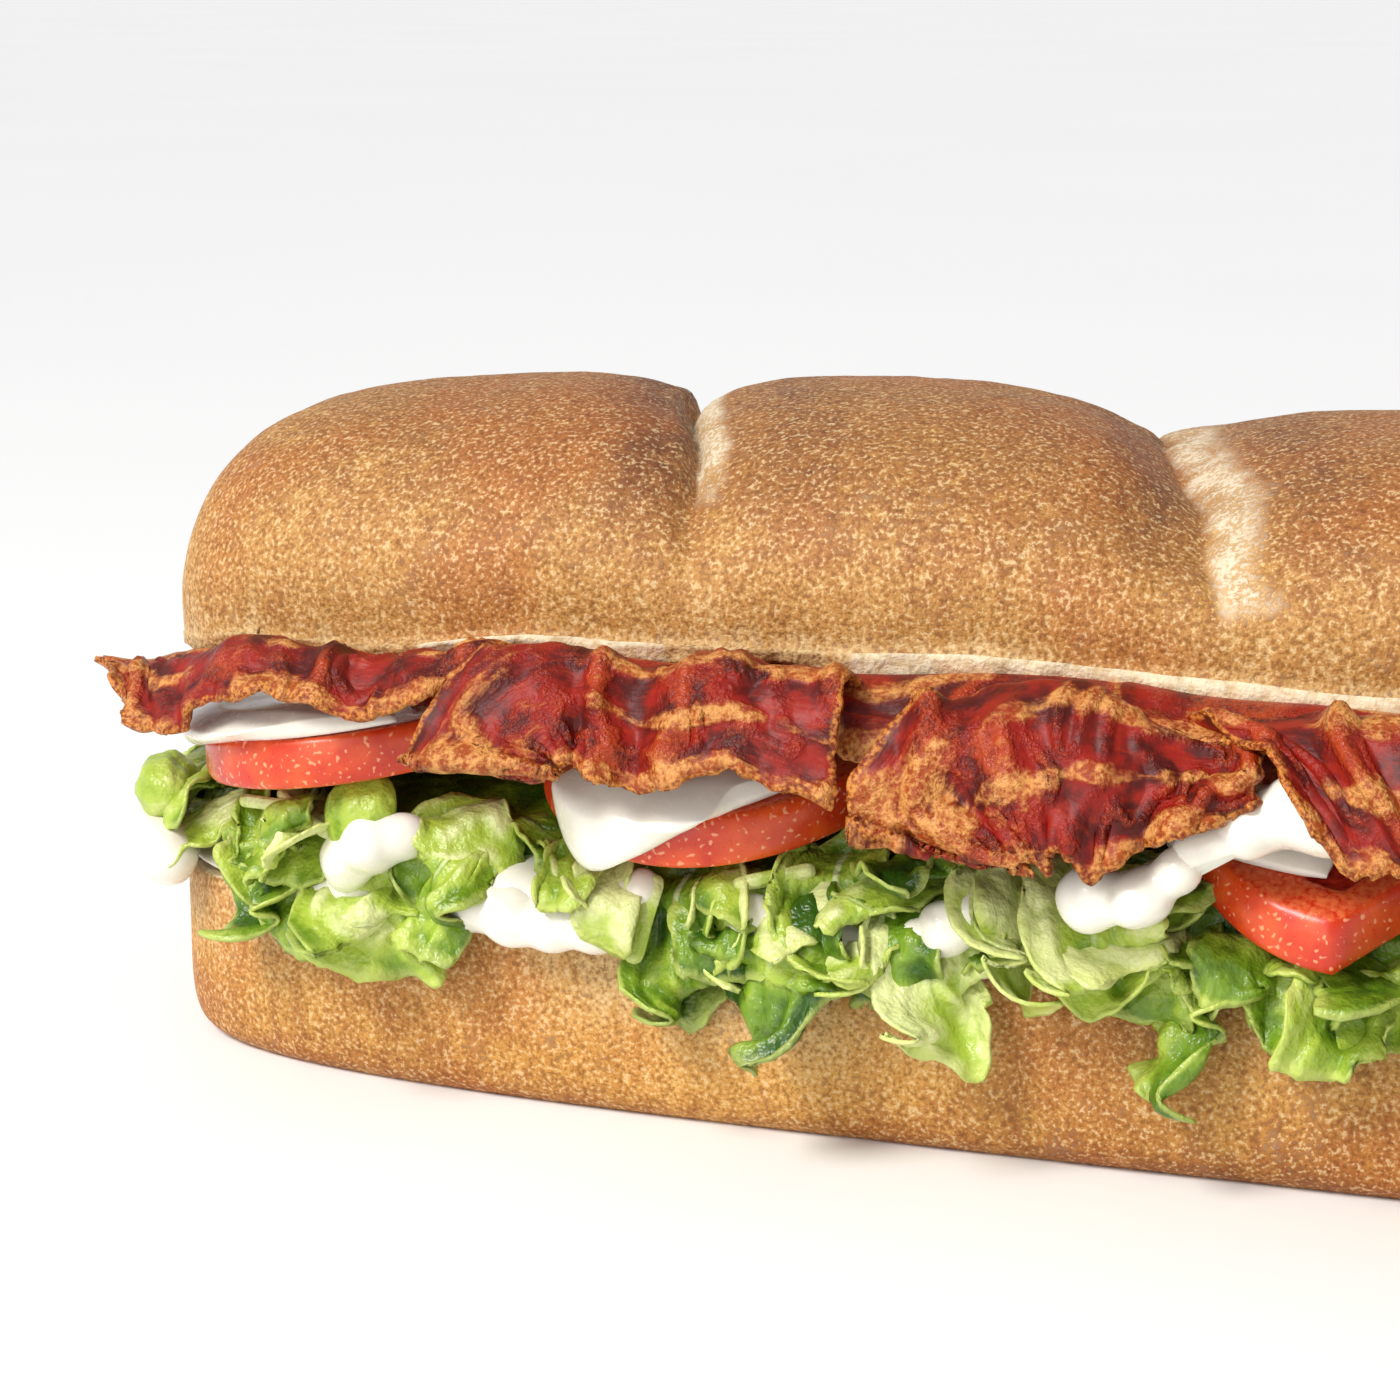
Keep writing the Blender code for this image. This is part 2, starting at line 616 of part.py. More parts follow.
def core_ring(t):
    """One cross-section of the lettuce core, with an uneven outer edge."""
    half = half_width_at(min(abs(t) + 5.0, HALF_LENGTH - 0.5)) - CORE_INSET
    knots = np.array([-1.0, -1.06, -0.9, -0.45, 0.0, 0.45, 0.9, 1.06, 1.0, 0.4, -0.4])
    heights = np.array([CORE_BASE, 29.0, 0, 0, 0, 0, 0, 29.0, CORE_BASE, CORE_BASE, CORE_BASE])
    y = half * knots
    swell = np.where(np.abs(knots) > 1.03, 1.6 * ripple(t, y, 11, 14), 0.0)
    y = y + swell * np.sign(knots) * smoothstep(2.0, 12.0, half)
    z = np.where(heights > 0, heights, lettuce_roof(t, y) - 0.5 + 0.4 * ripple(t, y, 12, 13))
    return np.stack([t + 0 * y, y, np.maximum(z, CORE_BASE)], 1)


def leaf_root(p, out):
    """Height where a leaf comes out, below the slice of tomato above it."""
    x, y = outline(np.array([p, p, p]), np.array([-5.0, 0.0, out]))
    under = min(float(np.min(tomato_under(s, x, y))) for s in TOMATOES)
    return min(34.0, under - 1.4)


def leaf_grid(leaf, rows, columns):
    """Middle surface of a leaf: it comes out of the core level, bends over the edge and hangs down."""
    p0, tip, width, lean, level = leaf
    root = leaf_root(p0, 5.0)
    s = np.linspace(0, 1, rows)[:, None]
    v = np.linspace(-1, 1, columns)[None, :]
    ragged = 1.0 - 0.12 * (1 + np.cos(v * 5.0 + p0)) * smoothstep(0.5, 1.0, s)
    run = s * (LEAF_REACH + root - tip) * ragged
    out = np.minimum(run, LEAF_REACH) - LEAF_BURIED
    bend = smoothstep(LEAF_REACH - 5.0, LEAF_REACH + 3.0, run)
    spread = width / 2 * (0.65 + 0.45 * np.sin(math.pi * 0.8 * s))
    p = p0 + lean * np.maximum(run - LEAF_BURIED, 0) + v * spread + 0.8 * np.sin(3.1 * s + p0)
    out = out + bend * (0.9 + 2.2 * swell_at(p) + 1.5 * level + 0.6 * np.sin(run * 0.45 + p0))
    out = out + 0.4 * np.cos(v * 2.4 + p0) * smoothstep(0.3, 0.6, s)
    z = root - np.maximum(run - LEAF_REACH + 1.5, 0.0) - bend
    x, y = outline(p, out)
    return np.stack([x, y, z], -1)


def make_lettuce(finish):
    """The core with the leaves that show fused on by one Boolean union."""
    places = 144.0 * np.sin(np.linspace(-1, 1, 21) * math.pi / 2)
    core = add_solid("lettuce", *rings_solid([core_ring(t) for t in places]), finish)
    leaves = bpy.data.collections.new("leaves")
    bpy.context.scene.collection.children.link(leaves)
    count = 0
    for side in (-1, 1):
        for leaf in LEAVES:
            middle = leaf_grid(leaf, 5, 3)
            normal = normals_of(middle)
            points, faces = slab_solid(middle + normal * LEAF_THICK / 2, middle - normal * LEAF_THICK / 2)
            points = points if side < 0 else half_turned(points)
            count += 1
            made = add_solid(f"leaf_{count}", points, faces, finish)
            bpy.context.scene.collection.objects.unlink(made)
            leaves.objects.link(made)
    union = core.modifiers.new("fuse", "BOOLEAN")
    union.operation = "UNION"
    union.operand_type = "COLLECTION"
    union.collection = leaves
    union.solver = "MANIFOLD"
    bpy.context.view_layer.update()
    graph = bpy.context.evaluated_depsgraph_get()
    fused = bpy.data.meshes.new_from_object(core.evaluated_get(graph))
    core.modifiers.remove(union)
    core.data = fused
    for made in list(leaves.objects):
        bpy.data.objects.remove(made)
    bpy.data.collections.remove(leaves)


def main():
    for old in list(bpy.data.objects):
        bpy.data.objects.remove(old)
    crust = material("crust", (0.62, 0.33, 0.12), 0.62)
    tomato = material("tomato", (0.75, 0.09, 0.03), 0.3)
    sauce = material("mayonnaise", (0.93, 0.9, 0.8), 0.3)
    meat = material("bacon", (0.42, 0.07, 0.03), 0.35)
    leaf = material("lettuce", (0.22, 0.42, 0.07), 0.45)
    make_roll(crust)
    make_lower_sauce(sauce)
    make_lettuce(leaf)
    for side in (-1, 1):
        for slice_ in TOMATOES:
            make_tomato(slice_, side, tomato)
        for dollop in DOLLOPS:
            make_dollop(dollop, side, sauce)
        for strip in BACON:
            make_bacon(strip, side, meat)


main()
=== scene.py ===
# %% [markdown]
# # A long bacon, lettuce and tomato sandwich
#
# This script dresses a plain solid model of a sandwich with the shapes and colours of the real food. Every
# piece is a surface: a function of two numbers, worked out for a whole grid at once, and closed into a thin
# or a full body. Lengths are in millimetres until a mesh is made. The roll lies along X, the side that the
# picture shows faces -Y, and Z is up. The other side is laid out alike, turned half round Z.

import math

import bpy
import numpy as np
from mathutils import Matrix, Vector


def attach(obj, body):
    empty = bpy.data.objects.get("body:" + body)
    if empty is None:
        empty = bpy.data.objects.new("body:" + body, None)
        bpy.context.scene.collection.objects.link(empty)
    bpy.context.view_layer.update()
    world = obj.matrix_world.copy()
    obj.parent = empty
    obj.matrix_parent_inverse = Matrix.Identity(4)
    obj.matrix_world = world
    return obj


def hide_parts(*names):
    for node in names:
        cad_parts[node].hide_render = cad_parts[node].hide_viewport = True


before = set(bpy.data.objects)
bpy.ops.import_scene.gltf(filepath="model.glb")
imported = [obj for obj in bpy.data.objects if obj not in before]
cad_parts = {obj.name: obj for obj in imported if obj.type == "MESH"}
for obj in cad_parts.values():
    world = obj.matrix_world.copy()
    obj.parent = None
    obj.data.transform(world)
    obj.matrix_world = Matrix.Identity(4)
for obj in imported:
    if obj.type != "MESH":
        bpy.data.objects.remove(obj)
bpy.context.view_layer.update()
MM = 0.001
DETAIL = 1.0
print("solid model:", len(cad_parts), "nodes; quick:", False)

# %% [markdown]
# ## Small helpers for curves
#
# Food has few straight lines, so nearly every shape below bends a number smoothly. `smoothstep` is an S
# between 0 and 1, `bell` is a hump, `through` is a smooth curve through given points, and `power` keeps the
# sign of its number, which is what a superellipse needs. They work on whole arrays, so no loop over points
# is needed.


# %% Curves
def smoothstep(low, high, x):
    """0 below low, 1 above high, 3t^2 - 2t^3 between, with t the share of the way."""
    t = np.clip((np.asarray(x, float) - low) / (high - low), 0.0, 1.0)
    return t * t * (3.0 - 2.0 * t)


def bell(x, middle, width):
    """A smooth hump: e to the power of minus the squared distance from the middle over the width."""
    return np.exp(-(((x - middle) / width) ** 2))


def power(x, exponent):
    """|x| to the exponent, with the sign of x."""
    return np.sign(x) * np.abs(x) ** exponent


def through(knots, values, x):
    """Cubic Hermite curve through the knots, with slopes taken from the neighbouring knots."""
    knots, values = np.array(knots, float), np.array(values, float)
    slopes = np.gradient(values, knots)
    x = np.clip(x, knots[0], knots[-1])
    i = np.clip(np.searchsorted(knots, x, side="right") - 1, 0, len(knots) - 2)
    span = knots[i + 1] - knots[i]
    t = (x - knots[i]) / span
    return (
        values[i] * (1 + 2 * t) * (1 - t) ** 2
        + slopes[i] * span * t * (1 - t) ** 2
        + values[i + 1] * t * t * (3 - 2 * t)
        - slopes[i + 1] * span * t * t * (1 - t)
    )


# %% [markdown]
# ## Noise for uneven food
#
# Real crust and leaves are uneven at several sizes. A texture could push the points about, but noise worked
# out here shapes the mesh itself and is the same each run. Random heights stand on the corners of a grid of
# cubes, and a point between them takes a smooth blend of the eight corners round it. `fractal` adds finer
# copies, each half as strong.

# %% Noise
CORNERS = np.random.RandomState(7).uniform(-1, 1, 8192)
SCRAMBLE = np.array([73856093, 19349663, 83492791])  # large odd numbers, which mix the corners well


def noise(points, size, seed=0):
    """Smooth noise from about -1 to 1 at points of shape (..., 3), for lumps of the given size."""
    grid = np.asarray(points, float) / size + seed * 17.37
    cell = np.floor(grid).astype(np.int64)
    part = grid - cell
    part = part * part * (3.0 - 2.0 * part)
    total = 0.0
    for dx in (0, 1):
        for dy in (0, 1):
            for dz in (0, 1):
                corner = (cell + (dx, dy, dz)) * SCRAMBLE
                key = corner[..., 0] ^ corner[..., 1] ^ corner[..., 2]
                weight = 1.0
                for axis, side in enumerate((dx, dy, dz)):
                    weight = weight * (part[..., axis] if side else 1.0 - part[..., axis])
                total = total + weight * CORNERS[key & (len(CORNERS) - 1)]
    return total


def fractal(points, size, octaves=3, seed=0):
    """Noise of the given size plus finer copies, each half the size and half the strength."""
    total = 0.0
    for octave in range(octaves):
        total = total + noise(points, size / 2**octave, seed + octave) / 2**octave
    return total


def stacked(x, y, z):
    """Points of shape (..., 3) from three arrays that need not be alike."""
    x, y, z = np.broadcast_arrays(x, y, z)
    return np.stack([x, y, z], -1).astype(float)


# %% [markdown]
# ## Closing grids into bodies
#
# A grid of points is only a sheet, and a sheet has no inside, so it is closed. `ring_faces` closes a tube
# of rings, with a point at each end. `slab_faces` closes two sheets that lie face to face. `make_piece`
# turns the numbers into a mesh and stores named values at its points, which the material reads.


# %% Bodies
def ring_faces(rings, sides):
    """Triangles of a tube of closed rings, and of a fan at each end to the last two points."""
    i, j = np.meshgrid(np.arange(rings - 1), np.arange(sides), indexing="ij")
    a, b = (i * sides + j).ravel(), (i * sides + (j + 1) % sides).ravel()
    walls = np.concatenate([np.stack([a, a + sides, b + sides], 1), np.stack([a, b + sides, b], 1)])
    k = np.arange(sides)
    first, last, base = rings * sides, rings * sides + 1, (rings - 1) * sides
    start = np.stack([0 * k + first, k, (k + 1) % sides], 1)
    end = np.stack([0 * k + last, base + (k + 1) % sides, base + k], 1)
    return np.concatenate([walls, start, end])


def slab_faces(rows, columns):
    """Triangles of a thin body made of an upper and a lower grid of the same size."""
    i, j = np.meshgrid(np.arange(rows - 1), np.arange(columns - 1), indexing="ij")
    a = (i * columns + j).ravel()
    b, c, d = a + 1, a + 1 + columns, a + columns
    n = rows * columns
    sheets = [(a, d, c), (a, c, b), (a + n, c + n, d + n), (a + n, b + n, c + n)]
    edge = np.concatenate(
        [
            np.arange(columns),
            np.arange(1, rows) * columns + columns - 1,
            (rows - 1) * columns + np.arange(columns - 2, -1, -1),
            np.arange(rows - 2, 0, -1) * columns,
        ]
    )
    on = np.roll(edge, -1)
    rim = [(edge, on, on + n), (edge, on + n, edge + n)]
    return np.concatenate([np.stack(t, 1) for t in sheets + rim])


def normals_of(grid):
    """Unit normals of a grid of points: row direction x column direction."""
    normal = np.cross(np.gradient(grid, axis=0), np.gradient(grid, axis=1))
    return normal / np.maximum(np.linalg.norm(normal, axis=-1, keepdims=True), 1e-9)


def make_piece(name, points, faces, finish, values=None):
    """A smooth mesh from points in millimetres, with named values at its points, on the root body."""
    mesh = bpy.data.meshes.new(name)
    mesh.vertices.add(len(points))
    mesh.vertices.foreach_set("co", (np.asarray(points, np.float32) * MM).ravel())
    mesh.loops.add(faces.size)
    mesh.loops.foreach_set("vertex_index", faces.astype(np.int32).ravel())
    mesh.polygons.add(len(faces))
    mesh.polygons.foreach_set("loop_start", np.arange(0, faces.size, 3, dtype=np.int32))
    for label, amounts in (values or {}).items():
        layer = mesh.attributes.new(label, "FLOAT", "POINT")
        layer.data.foreach_set("value", np.asarray(amounts, np.float32).ravel())
    mesh.materials.append(finish)
    mesh.update(calc_edges=True)
    mesh.shade_smooth()
    piece = bpy.data.objects.new(name, mesh)
    bpy.context.scene.collection.objects.link(piece)
    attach(piece, "root")
    return piece


def gather(parts):
    """One set of points, faces and values from several (points, faces, values)."""
    points, faces, values, start = [], [], {}, 0
    for p, f, v in parts:
        points.append(p)
        faces.append(f + start)
        start += len(p)
        for label, amounts in v.items():
            values.setdefault(label, []).append(np.ravel(amounts))
    return np.concatenate(points), np.concatenate(faces), {k: np.concatenate(v) for k, v in values.items()}


def turned(points, side):
    """The points as they are for the -Y side (-1), or turned half round Z for the +Y side (1)."""
    return np.asarray(points) if side < 0 else np.asarray(points) * (-1, -1, 1)


def cap_points(rings):
    """Flat list of ring points, then the middle of the first and of the last ring."""
    return np.concatenate([rings.reshape(-1, 3), [rings[0].mean(0)], [rings[-1].mean(0)]])


def cap_values(amounts):
    """The same list for a value at each ring point."""
    return np.concatenate([amounts.ravel(), [amounts[0].mean()], [amounts[-1].mean()]])


SIDES = ((-1, "front"), (1, "back"))

# %% [markdown]
# ## Arithmetic on material sockets
#
# A material is a graph of nodes, and long sums are hard to read as nodes. `Amount` wraps a number socket so
# that `+`, `-` and `*` make Math nodes, and `Graph` holds one material. Its `add` method makes any node
# from a type, its settings and what goes into it.


# %% Material graph
class Amount:
    """A number socket of a material that ordinary arithmetic works on."""

    def __init__(self, graph, socket):
        self.graph, self.socket = graph, socket

    def math(self, operation, first, second):
        """A Math node of this operation on two amounts or numbers."""
        return self.graph.add("ShaderNodeMath", {"operation": operation}, {0: first, 1: second})

    def __add__(self, other):
        return self.math("ADD", self, other)

    def __radd__(self, other):
        return self.math("ADD", other, self)

    def __sub__(self, other):
        return self.math("SUBTRACT", self, other)

    def __rsub__(self, other):
        return self.math("SUBTRACT", other, self)

    def __mul__(self, other):
        return self.math("MULTIPLY", self, other)

    def __rmul__(self, other):
        return self.math("MULTIPLY", other, self)

    def step(self, low, high):
        """The smoothstep of this amount between two numbers."""
        settings = {"interpolation_type": "SMOOTHSTEP"}
        return self.graph.add("ShaderNodeMapRange", settings, {0: self, 1: low, 2: high, 3: 0.0, 4: 1.0})


class Graph:
    """Builds one material round its Principled shader."""

    def __init__(self, name, **fixed):
        self.material = bpy.data.materials.new(name)
        self.material.use_nodes = True
        self.tree = self.material.node_tree
        self.shader = self.tree.nodes["Principled BSDF"]
        for label, amount in fixed.items():
            self.shader.inputs[label.replace("_", " ")].default_value = amount
        self.place = self.add("ShaderNodeTexCoord", output="Object")

    def add(self, kind, settings=None, inputs=None, output=0):
        """A node of any type; inputs are numbers, colours or other amounts, by socket name or number."""
        node = self.tree.nodes.new(kind)
        for label, setting in (settings or {}).items():
            setattr(node, label, setting)
        for label, source in (inputs or {}).items():
            if isinstance(source, Amount):
                self.tree.links.new(source.socket, node.inputs[label])
            else:
                node.inputs[label].default_value = source
        return Amount(self, node.outputs[output])

    def value(self, label):
        """The value stored at the mesh's points under this name."""
        return self.add("ShaderNodeAttribute", {"attribute_name": label}, output="Fac")

    def grain(self, size_mm, detail=3.0, stretch=(1, 1, 1)):
        """Noise from 0 to 1 whose lumps measure about size_mm, stretched along the axes."""
        scale = [1000.0 / size_mm / s for s in stretch]
        place = self.add("ShaderNodeMapping", {}, {"Vector": self.place, "Scale": scale})
        inputs = {"Vector": place, "Scale": 1.0, "Detail": detail, "Roughness": 0.55}
        return self.add("ShaderNodeTexNoise", {}, inputs)

    def over(self, place, scale, detail=3.0):
        """Noise from 0 to 1 over any place, with a scale per axis."""
        place = self.add("ShaderNodeMapping", {}, {"Vector": place, "Scale": scale})
        return self.add("ShaderNodeTexNoise", {}, {"Vector": place, "Scale": 1.0, "Detail": detail})

    def mix(self, share, first, second):
        """The first colour at share 0 and the second at share 1."""
        settings = {"data_type": "RGBA", "clamp_factor": True}
        return self.add("ShaderNodeMix", settings, {0: share, 6: first, 7: second}, output=2)

    def bump(self, height, distance_mm, strength):
        """A normal that makes the height show as relief of up to distance_mm."""
        inputs = {"Height": height, "Distance": distance_mm * MM, "Strength": strength}
        return self.add("ShaderNodeBump", {}, inputs)

    def wire(self, **sources):
        """Joins amounts to the shader's sockets; Base_Color stands for Base Color."""
        for label, source in sources.items():
            self.tree.links.new(source.socket, self.shader.inputs[label.replace("_", " ")])
        return self.material


def colour(code):
    """A linear colour with alpha from six hexadecimal digits as a paint program shows them."""
    parts = np.array([int(code[i : i + 2], 16) for i in (0, 2, 4)]) / 255.0
    linear = np.where(parts <= 0.04045, parts / 12.92, ((parts + 0.055) / 1.055) ** 2.4)
    return (*linear.tolist(), 1.0)


# %% [markdown]
# ## Bread colours
#
# A baked crust is pale where it rose last and brown where the heat reached it first, with fine dark and
# light specks; the light ones are partly the crust's grain and partly painted glints. One picture could be
# wrapped round it, but stored values follow the shape better: `bake` runs from pale to brown, `torn` is the
# pale inside that shows in the scores, `crumb` is the soft cut side, and `warm` is the more golden tone near
# the base. Noise of several sizes breaks all of them up.


# %% Bread material
def bread_material():
    """Mixes in turn: bake, the warm tone, patches, dark specks, light specks that are partly painted glints,
    the tears, the crumb.
    """
    g = Graph("baked bread", Roughness=0.6, Specular_IOR_Level=0.3)
    specks = g.grain(0.55, 2.0)
    fine = g.grain(1.3, 2.0)
    middle = g.grain(4.5, 2.0)
    broad = g.grain(22.0, 1.0)
    streaks = g.grain(1.6, 2.0, stretch=(1, 1, 6))
    uneven = (broad - 0.5) * 0.6 + (middle - 0.5) * 0.5 + (streaks - 0.5) * 0.7 + (fine - 0.5) * 0.7
    bake = g.value("bake") + uneven
    crust = g.mix(bake.step(-0.25, 0.3), colour("D3B07A"), colour("BC8846"))
    crust = g.mix(bake.step(0.2, 0.65), crust, colour("A26C38"))
    crust = g.mix(bake.step(0.6, 1.2), crust, colour("744326"))
    golden = g.mix(bake.step(0.0, 1.0), colour("DCA24A"), colour("9A5516"))
    crust = g.mix(g.value("warm") * 0.55, crust, golden)
    # the light specks are partly the crust's fine grain and partly painted glints on its tiny bumps
    dark, pale_grain_and_glints = specks.step(0.5, 0.66), specks.step(0.47, 0.33)
    crust = g.mix(broad.step(0.46, 0.66) * 0.4, crust, colour("B4662A"))
    crust = g.mix(dark * 0.55, crust, colour("6A3A16"))
    crust = g.mix(pale_grain_and_glints * 0.5, crust, colour("EFD6A4"))
    torn = (g.value("torn") + (middle - 0.5) * 0.9 + (specks - 0.5) * 0.9).step(0.15, 0.95)
    pale = g.mix((specks + (middle - 0.5) * 0.5).step(0.36, 0.6), colour("C39F6C"), colour("EFE0C2"))
    crust = g.mix(torn * 0.85, crust, pale)
    soft = g.mix(fine.step(0.3, 0.6), colour("DCC296"), colour("EFDFBE"))
    crumb = (g.value("crumb") + (fine - 0.5) * 0.25).step(0.4, 0.6)
    skin = g.mix(crumb, crust, soft)
    height = middle * 0.7 + fine * 0.5 + specks * 0.6 + streaks * 0.8
    normal = g.bump(height, 0.5, 0.8)
    rough = 0.55 + (fine - 0.5) * 0.3 + crumb * 0.2
    return g.wire(Base_Color=skin, Roughness=rough, Normal=normal)


bread = bread_material()
print("bread material:", len(bread.node_tree.nodes), "nodes")

# %% [markdown]
# ## The outline of the roll
#
# Seen from above, the roll is a long rounded bar. A superellipse gives that with three numbers. `outline`
# walks along it: p is the distance from the middle of the -Y side, and `out` is how far outside it the
# point stands. The sauce, the blobs and the leaves are all placed by these two, so they follow the roll's
# ends without more work.

# %% Outline
HALF_LENGTH, HALF_WIDTH, HEIGHT = 150.0, 39.0, 83.0
PLAN_POWER = 4.4
LAST_SECTION = HALF_LENGTH - 0.25
END_FADE = (149.6, 149.2)  # between these, the crumb gives way to crust at the roll's ends


def half_width_at(x):
    """Half the width at X: the superellipse |x/a|^n + |y/b|^n = 1 solved for y."""
    return HALF_WIDTH * (1 - np.abs(x / HALF_LENGTH) ** PLAN_POWER) ** (1 / PLAN_POWER)


def outline_table():
    """Points of the superellipse, the distance run to each, and its unit normal (dy, -dx)."""
    turn = np.linspace(-math.pi, math.pi, 4801)
    x = HALF_LENGTH * power(np.sin(turn), 2 / PLAN_POWER)
    y = HALF_WIDTH * power(-np.cos(turn), 2 / PLAN_POWER)
    run = np.concatenate([[0.0], np.cumsum(np.hypot(np.diff(x), np.diff(y)))])
    run -= run[len(run) // 2]
    dx, dy = np.gradient(x), np.gradient(y)
    size = np.hypot(dx, dy) + 1e-9
    return x, y, run, dy / size, -dx / size


OUTLINE = outline_table()
HALF_WAY = OUTLINE[2][-1]


def outline(p, out):
    """X and Y at distance p along the outline, moved outwards along its normal by out."""
    x, y, run, nx, ny = OUTLINE
    ux, uy = np.interp(p, run, nx), np.interp(p, run, ny)
    unit = np.hypot(ux, uy)
    return np.interp(p, run, x) + ux / unit * out, np.interp(p, run, y) + uy / unit * out


# %% [markdown]
# ## The top half of the roll
#
# The top half is a dome that the baker scored, so it rose in five swellings. It could be sculpted, or cut
# with other shapes, but one formula keeps it smooth: each section is half a superellipse that leans along
# the scores. A score presses the dome in, steeply on its left, and tears it: the tear is a narrow crack
# with pale crumb beside it. Under the crust's edge hangs a ragged lip of crumb.

# %% Top half
DOME_POWER, DOME_END_POWER, TUCK = 2.35, 4.5, 0.035
CRUST_EDGE = 57.0
SCORE_SKEW = -0.3
# place along X, depth, width, steepness of the -X wall; width, low end and strength of the pale tear
SCORES = (
    (-87.0, 3.9, 4.6, 1.7, 5.6, 0.74, 1.0),
    (-28.5, 5.2, 7.6, 0.9, 9.5, 0.3, 0.7),
    (29.0, 4.4, 6.0, 1.4, 5.0, 0.35, 0.8),
    (87.0, 4.4, 5.0, 1.2, 4.0, 0.5, 0.9),
)
LIP = (
    (0.985, -0.25), (0.978, -0.7), (0.972, -1.15), (0.966, -1.6), (0.958, -1.9), (0.945, -2.1), (0.9, -2.2)
)


def crust_edge(x, side):
    """Height of the crust's edge on one side: low at the -X end of the -Y side, high before its middle."""
    t = -side * x
    low_end = 3.4 * smoothstep(-92, -120, t) + 3.0 * smoothstep(-132, -150, t)
    return CRUST_EDGE - low_end + 1.2 * bell(t, -42, 24) - 0.4 * smoothstep(-15, 0, t)


def lip_drop(x, side):
    """How far the crumb's edge hangs below its usual place: most along the middle of each side."""
    t = -side * x
    along_side = 1.9 * smoothstep(-66, -54, t) + 1.7 * smoothstep(-36, -8, t)
    return along_side * smoothstep(86, 72, t) + 1.6 * bell(t, -88, 12)


# %% [markdown]
# ## The scores
#
# A baker cuts the dough so that it opens along chosen lines. Each score is a valley across the roll, with
# pale crumb where the crust tore. A knife-shaped body could be cut away, but a sum of humps leaves no
# seams, and the same formula tells the material where the crust is torn and where it is browner.


# %% Scores
def score_shape(x, y, lift):
    """How far the scores press in, how torn the crust is, and how much browner it is beside them."""
    press, torn, brown = 0.0, 0.0, 0.0
    line = stacked(y, 0 * y, x * 0.02)
    wander = 1.3 * noise(line, 8.0, 5) + 0.5 * noise(line, 2.5, 6)
    for place, depth, width, steep, pale, low, strength in SCORES:
        away = x - place - SCORE_SKEW * y + wander * smoothstep(0.1, 0.5, lift)
        slope = np.where(away < 0, -away * steep, away)
        side = smoothstep(0.1, 0.75, lift)
        press = press + side * (depth * np.exp(-((slope / width) ** 1.2)) + 1.4 * bell(slope, 0, 17))
        reach = smoothstep(low - 0.12, low + 0.12, lift)
        sharp = 1.0 if steep > 1 else 0.3
        press = press + sharp * reach * (1.6 * bell(away, 0.3, 0.7) - 0.8 * bell(away, -1.8, 1.2))
        edge = smoothstep(-0.4 / sharp, 0.6 / sharp, away) * smoothstep(pale, pale * 0.35, away)
        torn = torn + strength * reach * edge
        darker = 0.5 * strength * bell(away, -5.0, 5.5) + 0.25 * bell(away, 13, 6)
        brown = brown + darker * smoothstep(0.25, 0.85, lift)
    return press, torn, brown


def skewed(t, y):
    """X of a point of the cross-section at t, which leans along the scores and stands square at the ends."""
    return t + SCORE_SKEW * y * (1 - np.abs(t / HALF_LENGTH) ** 6)


# %% Crust and crumb
def top_sections(count):
    """Places of the sections: a sine, so that they crowd at the ends, blended with even steps."""
    sweep = math.pi / 2 * 0.97
    t = LAST_SECTION * np.sin(np.linspace(-1, 1, count) * sweep) / math.sin(sweep)
    return (0.75 * t + 0.25 * np.linspace(t[0], t[-1], count))[:, None]


def edge_between(x, across):
    """The crust edge's height, blended from the -Y side at across = -1 to the +Y side at across = 1."""
    share = (1 + across) / 2
    return crust_edge(x, -1) * (1 - share) + crust_edge(x, 1) * share


def crust_surface(t, count):
    """The dome from the -Y edge to the +Y edge, how browned it is and how torn.

    A section is the superellipse |across|^n + |lift|^n = 1 between the crust's edge and the top. The scores
    press it in, and noise swells it outwards from the middle of the cut.
    """
    turn = np.linspace(0.0, math.pi, count)[None, :]
    lift = np.abs(np.sin(turn)) ** (2 / DOME_POWER) + 0 * t
    across = -power(np.cos(turn), 2 / DOME_POWER) + 0 * t
    rise = (1 - np.abs(t / HALF_LENGTH) ** DOME_END_POWER) ** (1 / DOME_END_POWER)
    y = half_width_at(t) * across * (1 - TUCK * (1 - smoothstep(0.0, 0.4, lift)))
    x = skewed(t, y)
    edge = edge_between(x, across)
    press, torn, brown = score_shape(x, y, lift)
    press = press * rise
    z = edge + (HEIGHT - edge) * lift * rise
    z = z - (press + 2.2 * smoothstep(34, 22, np.abs(x))) * lift
    z = z - 0.35 * np.abs(1 - lift) * fractal(stacked(x, y, 0 * z), 7.0, 2, 3)
    y = y * (1 - 0.02 * press * (1 - lift) - 0.006 * press)
    place = stacked(x, y, z)
    skin = 0.45 * fractal(place, 26.0, 2, 1) + 0.14 * fractal(place * (1, 1, 0.35), 5.0, 3, 2)
    pulls = np.clip(noise(place * (1, 0.3, 0.14), 2.6, 9), 0, 1)
    wrinkles = smoothstep(0.5, 0.1, lift) * 0.3 * power(pulls, 1.5)
    outwards = place - stacked(x, 0 * y, edge)
    outwards = outwards / np.maximum(np.linalg.norm(outwards, axis=-1, keepdims=True), 1.0)
    crust = place + outwards * (skin - 1.5 * wrinkles)[..., None]
    crust[..., 2] = np.minimum(crust[..., 2], HEIGHT)
    height = (crust[..., 2] - CRUST_EDGE) / (HEIGHT - CRUST_EDGE)
    bake = 0.33 + 0.35 * smoothstep(0.1, 1.0, height) + brown - 0.2 * smoothstep(0.12, 0.0, lift)
    return crust, bake - 0.1 * smoothstep(-118, -145, x), torn


